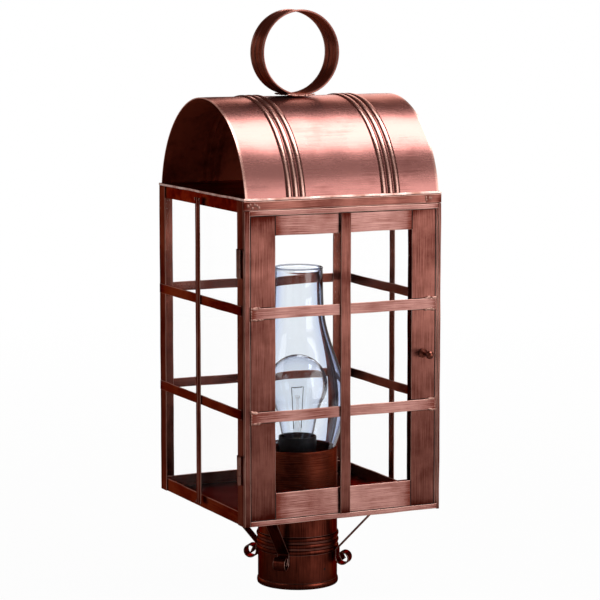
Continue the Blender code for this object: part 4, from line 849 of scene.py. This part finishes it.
class LanternLamp(bpy.types.Operator):
    """Build the cup, socket, chimney and bulb"""

    bl_idname = "lantern.lamp"
    bl_label = "Lamp"

    def execute(self, context):
        # Cup: a straight wall with a rolled rim, and a ledge inside that carries the chimney
        low, high = BOX["socket_cup"]
        outer = high[0]
        inner = outer - sizes().sheet
        floor, rim = low[2], high[2]
        ledge, ledge_thick, ledge_hole = 0.0412, 0.0012, 0.0240
        curl, below_rim, above_floor = 0.0008, rim - 0.0022, floor + 0.0015
        t = np.linspace(0, np.pi, 8)
        roll = np.stack([outer - 0.0005 + curl * np.cos(t), rim - curl + curl * np.sin(t)], -1)[::-1]
        wall = [(outer, below_rim), (outer, above_floor), (outer, floor), (inner, floor), (inner, above_floor),
                (inner, ledge - ledge_thick), (ledge_hole, ledge - ledge_thick), (ledge_hole, ledge), (inner, ledge),
                (inner, below_rim)]
        # The wall's lapped seam, a flat strip from floor to rim, with two rivets
        seam_angle = math.radians(16)
        out = np.array([math.cos(seam_angle), -math.sin(seam_angle), 0.0])
        heights = np.linspace(floor + 0.001, rim - 0.003, 20)
        path = out * outer + heights[:, None] * Z
        seam = swept(*oblong(0.0050, -0.0003, 0.0005, 0.0003), path, np.cross(Z, out), out)
        piece("socket_cup_spun", [turned(np.concatenate([roll, wall]), 112), seam], "cup", ["socket_cup"])
        rivets = [out * (outer + 0.0006) + Z * (rim - drop) for drop in (0.0135, 0.0300)]
        piece("cup_rivets", blobs(rivets, [(0.0016, 0.0016, 0.0016)] * 2), "solder")

        # Socket: a moulded tube with a rounded shoulder, a groove round it and a stepped mouth
        low, high = BOX["lamp_socket"]
        top, wall = high[2], high[0]
        soft, groove = 0.0012, 0.0006
        bore, mouth_radius, mouth, depth = 0.0146, 0.0173, top - 0.0105, top - 0.0435
        t = np.linspace(0, np.pi / 2, 6)
        shoulder = np.stack([wall - soft + soft * np.sin(t), top - soft + soft * np.cos(t)], -1)
        hollow = [(0.0, depth), (bore, depth), (bore, mouth), (mouth_radius, mouth), (mouth_radius, top - 0.0004),
                  (mouth_radius + 0.0004, top)]
        channel = [(wall, top - 0.0140), (wall - groove, top - 0.0146), (wall - groove, top - 0.0160),
                   (wall, top - 0.0166)]
        profile = np.concatenate([hollow, shoulder, channel, [(wall, low[2]), (0.0, low[2])]])
        piece("lamp_socket_moulded", [turned(profile, 80, closed=False)], "phenolic", ["lamp_socket"])
        dress("brass", "socket_screw_shell", "socket_contact", "bulb_base")

        # Chimney: outer radius at heights above its foot, joined by a smooth curve
        low, high = BOX["glass_chimney"]
        station = np.array([(0.0, 0.0374), (0.0118, 0.0374), (0.030, 0.0436), (0.045, 0.0474), (0.060, 0.0490),
                            (0.074, 0.0476), (0.090, 0.0437), (0.105, 0.0384), (0.120, 0.0332), (0.135, 0.0288),
                            (0.148, 0.0266), (0.160, 0.0259), (0.175, 0.0254), (0.1949, 0.0250)])
        z = np.linspace(0, station[-1, 0], 110)
        out = smoothed(np.interp(z, *station.T), 12)
        wall = 0.0022
        # Fire-polished lip: a round roll a third thicker than the wall
        full = 0.67 * wall
        t = np.linspace(-0.25 * np.pi, 1.25 * np.pi, 15)
        roll = np.stack([out[-1] - wall / 2 + full * np.cos(t), low[2] + z[-1] - full + full * np.sin(t)], -1)
        outside = np.stack([out, low[2] + z], -1)[:-2]
        inside = np.stack([out - wall, low[2] + z], -1)[:-2][::-1]
        verts, quads, uv, _ = turned(np.concatenate([outside, roll, inside]), 128)
        # The lip's dark blue line, partly painted shade, rises towards the top of the roll
        thick = 0.7 * np.clip((verts[:, 2] - high[2]) / (2 * full) + 1, 0, 1)
        piece("chimney_blown", [(verts, quads, uv, thick)], "chimney", ["glass_chimney"], "chimney",
              sharp=60)

        # Bulb: a round dome, and a neck whose radii run smoothly down into the socket
        high = BOX["bulb_glass"][1]
        crown, bulb_wall = 0.0300, 0.0008
        centre = high[2] - crown
        t = np.radians(np.linspace(90, -35, 40))
        dome = np.stack([crown * np.cos(t), centre + crown * np.sin(t)], -1)
        dome[0, 0] = 0.0
        neck = np.array([dome[-1], (0.0200, top + 0.0215), (0.0180, top + 0.0118), (0.0158, top),
                         (0.0125, top - 0.0060), (0.0120, top - 0.0110)])
        s = np.linspace(0, len(neck) - 1, 40)
        throat = smoothed(np.stack([np.interp(s, np.arange(len(neck)), neck[:, k]) for k in (0, 1)], -1), 10)
        outside = np.concatenate([dome, throat[1:]])
        step = np.gradient(outside, axis=0)
        normal = np.stack([step[:, 1], -step[:, 0]], -1) / np.linalg.norm(step, axis=1, keepdims=True)
        inside = outside + normal * bulb_wall
        inside[0, 0] = 0.0
        profile = np.concatenate([outside, inside[::-1]])
        piece("bulb_envelope", [turned(profile, 96, closed=False)], "bulb", ["bulb_glass"], "bulb",
              sharp=60)
        dress("stem", "bulb_stem")
        dress("tungsten", "filament")
        return {"FINISHED"}


class LanternSolder(bpy.types.Operator):
    """Add the solder lumps that show at the joints"""

    bl_idname = "lantern.solder"
    bl_label = "Solder"

    def execute(self, context):
        rng = np.random.default_rng(11)
        sunk = 0.0004
        # On the header: four lumps at the plate's edge, and a wavy row at the other end
        low, high = BOX["front_header"]
        front, left, right = low[1], low[0], high[0]
        header_z = (low[2] + high[2]) / 2
        spots = [(right - inset, front - out, header_z + up) for inset, out, up in (
            (0.0168, 0.0002, 0.0015), (0.0165, 0.0002, -0.0010), (0.0130, 0.0003, 0.0010), (0.0110, 0.0003, 0.0004))]
        spots += [(left + 0.004 + 0.0022 * k, front - 0.0001, header_z + 0.0018 * math.sin(2.3 * k)) for k in range(6)]
        radii = [(0.0010 + 0.0006 * rng.random(), 0.0004, 0.0012 + 0.0006 * rng.random()) for _ in spots]
        # At the ends of the side bars
        for side, face in (("left", -1), ("right", 1)):
            for row in ("upper", "lower"):
                low, high = BOX[f"{side}_{row}_crossbar"]
                x = (low[0] if face < 0 else high[0]) - face * sunk
                spots += [(x, y, z) for y in (low[1] + 0.001, high[1] - 0.001)
                          for z in (low[2] + 0.0005, high[2] - 0.0005)]
                radii += [(0.0004, 0.0013, 0.0009)] * 4
        for side, face in (("left", -1), ("right", 1)):
            low, high = BOX[side + "_upright"]
            x = (low[0] if face < 0 else high[0]) - face * sunk
            spots += [(x, y, z) for y in (low[1], high[1]) for z in (low[2] + 0.0015, high[2] - 0.0015)]
            radii += [(0.0005, 0.0009, 0.0015)] * 4
        piece("cage_solder", blobs(spots, radii, (6, 10)), "solder")
        # Along the ends of the door's crossbars: lumps that thin out towards the middle
        spots, radii = [], []
        for row in ("upper", "lower"):
            low, high = BOX[f"door_{row}_crossbar"]
            y = high[1] - sunk
            for end, way in ((low[0], 1), (high[0], -1)):
                for z, size in ((low[2], 0.0017), (high[2], 0.0020)):
                    reach = np.abs(rng.normal(0, 0.006, 7))
                    spots += [(end + way * far, y, z + rng.normal(0, 0.0004)) for far in reach]
                    radii += [(size * (0.8 + rng.random()), 0.0009, size * (0.5 + 0.4 * rng.random())) for _ in reach]
                spots += [(end + way * sunk, y, z) for z in np.linspace(low[2], high[2], 5)]
                radii += [(0.0009, 0.0009, 0.0016)] * 5
        piece("door_solder", blobs(spots, radii, (6, 10)), "solder", body="door")
        return {"FINISHED"}


def looked_at(tree):
    """1 where the eye looks straight at the background or through glass, 0 where it shows in metal."""
    ray = add(tree, "LightPath").outputs
    bounced = add(tree, "Math", i0=ray["Glossy Depth"], i1=ray["Diffuse Depth"])
    direct = add(tree, "Math", {"operation": "LESS_THAN"}, i0=bounced, i1=0.5)
    seen = add(tree, "Math", {"operation": "MAXIMUM"}, i0=ray["Is Camera Ray"], i1=ray["Is Transmission Ray"])
    return add(tree, "Math", {"operation": "MULTIPLY"}, i0=seen, i1=direct)


class LanternStage(bpy.types.Operator):
    """Set the floor, studio light, background and camera"""

    bl_idname = "lantern.stage"
    bl_label = "Stage"

    def execute(self, context):
        scene = context.scene
        scene.view_settings.view_transform = "Standard"
        white = (1.0, 1.0, 1.0, 1.0)
        mesh = bpy.data.meshes.new("studio_floor")
        half = 9
        low = CAD_BOX[0][2] - 0.0004
        corners = [(-half, -half, low), (half, -half, low), (half, half, low), (-half, half, low)]
        mesh.from_pydata(corners, [], [(0, 1, 2, 3)])
        floor = bpy.data.objects.new("studio_floor", mesh)
        scene.collection.objects.link(floor)
        # Pale paper floor: white to the eye, and it keeps a soft share of the shadow
        paper, tree, shader = new_material("pale_paper")
        fill(tree, shader, Base_Color=linear("#B2ADAA"), Roughness=0.9)
        glow = add(tree, "Emission", Color=white, Strength=1.0)
        # The shadow's share fades out between 0.5 and 2 m from the post, so the floor meets the backdrop unseen
        place = add(tree, "TexCoord").outputs["Object"]
        far = add(tree, "VectorMath", {"operation": "LENGTH"}, i0=place).outputs["Value"]
        clear = add(tree, "MapRange", Value=far, From_Min=0.5, From_Max=2.0, To_Min=0.975, To_Max=1.0)
        share = add(tree, "Math", {"operation": "MULTIPLY"}, i0=looked_at(tree), i1=clear)
        mix = add(tree, "MixShader", i0=share, i1=shader, i2=glow)
        fill(tree, tree.nodes["Material Output"], Surface=mix)
        mesh.materials.append(paper)
        # Studio backdrop: white to the eye, and a warm grey where metal shows it
        world = bpy.data.worlds.new("studio")
        scene.world = world
        world.use_nodes = True
        tree = world.node_tree
        tone = add(tree, "Mix", {"data_type": "RGBA"}, i0=looked_at(tree), i6=linear("#5E4F49"), i7=white)
        fill(tree, tree.nodes["Background"], Color=tone.outputs[2])
        # Soft lamps: place, height of the aim on the post's axis, size in metres and power in watts
        lights = (("overhead", (0.81, -0.27, 2.06), 0.36, 1.28, 35.0),
                  ("front_right", (1.22, -2.05, 0.36), 0.18, 1.7, 22.0),
                  ("front_high", (1.0, -1.9, 1.7), 0.30, 1.2, 2.4),
                  ("back_right", (1.3, 1.7, 1.2), 0.25, 1.0, 8.0),
                  ("back_left", (-1.2, 1.9, 0.5), 0.25, 1.3, 2.6),
                  ("left_fill", (-2.0, -0.4, 1.3), 0.25, 0.8, 3.0))
        for name, place, aim, size, power in lights:
            lamp = bpy.data.lights.new(name, "AREA")
            lamp.size = size
            lamp.energy = power
            item = bpy.data.objects.new(name, lamp)
            item.location = place
            way = item.location - type(item.location)((0.0, 0.0, aim))
            item.rotation_euler = way.to_track_quat("Z", "Y").to_euler()
            scene.collection.objects.link(item)
        camera = bpy.data.cameras.new("photo_camera")
        camera.lens = 150.99
        camera.sensor_width = 36.0
        item = bpy.data.objects.new("photo_camera", camera)
        item.location = (-1.0685, -2.2472, 0.5237)
        item.rotation_euler = (math.radians(82.649), 0.0, math.radians(-25.488))
        scene.collection.objects.link(item)
        scene.camera = item
        return {"FINISHED"}


class LanternPanel(bpy.types.Panel):
    """Lists the lantern's builders and settings"""

    bl_idname = "VIEW3D_PT_lantern"
    bl_label = "Post lantern"
    bl_space_type = "VIEW_3D"
    bl_region_type = "UI"
    bl_category = "Lantern"

    def draw(self, context):
        for builder in BUILDERS:
            self.layout.operator(builder.bl_idname)
        for group in (context.scene.lantern_sizes, context.scene.lantern_colours):
            for name in group.__annotations__:
                self.layout.prop(group, name)


BUILDERS = (LanternFinishes, LanternCage, LanternRoof, LanternDoor, LanternFitter, LanternLamp, LanternSeams,
            LanternSolder, LanternStage)
CLASSES = (LanternSizes, LanternColours, *BUILDERS, LanternPanel)


def register():
    """Register the classes and the settings they use."""
    for item in CLASSES:
        bpy.utils.register_class(item)
    bpy.types.Scene.lantern_sizes = bpy.props.PointerProperty(type=LanternSizes)
    bpy.types.Scene.lantern_colours = bpy.props.PointerProperty(type=LanternColours)


def unregister():
    """Remove the settings and the classes."""
    del bpy.types.Scene.lantern_colours
    del bpy.types.Scene.lantern_sizes
    for item in reversed(CLASSES):
        bpy.utils.unregister_class(item)


def main():
    """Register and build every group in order."""
    register()
    for builder in BUILDERS:
        group, name = builder.bl_idname.split(".")
        getattr(getattr(bpy.ops, group), name)()


if __name__ == "__main__":
    main()
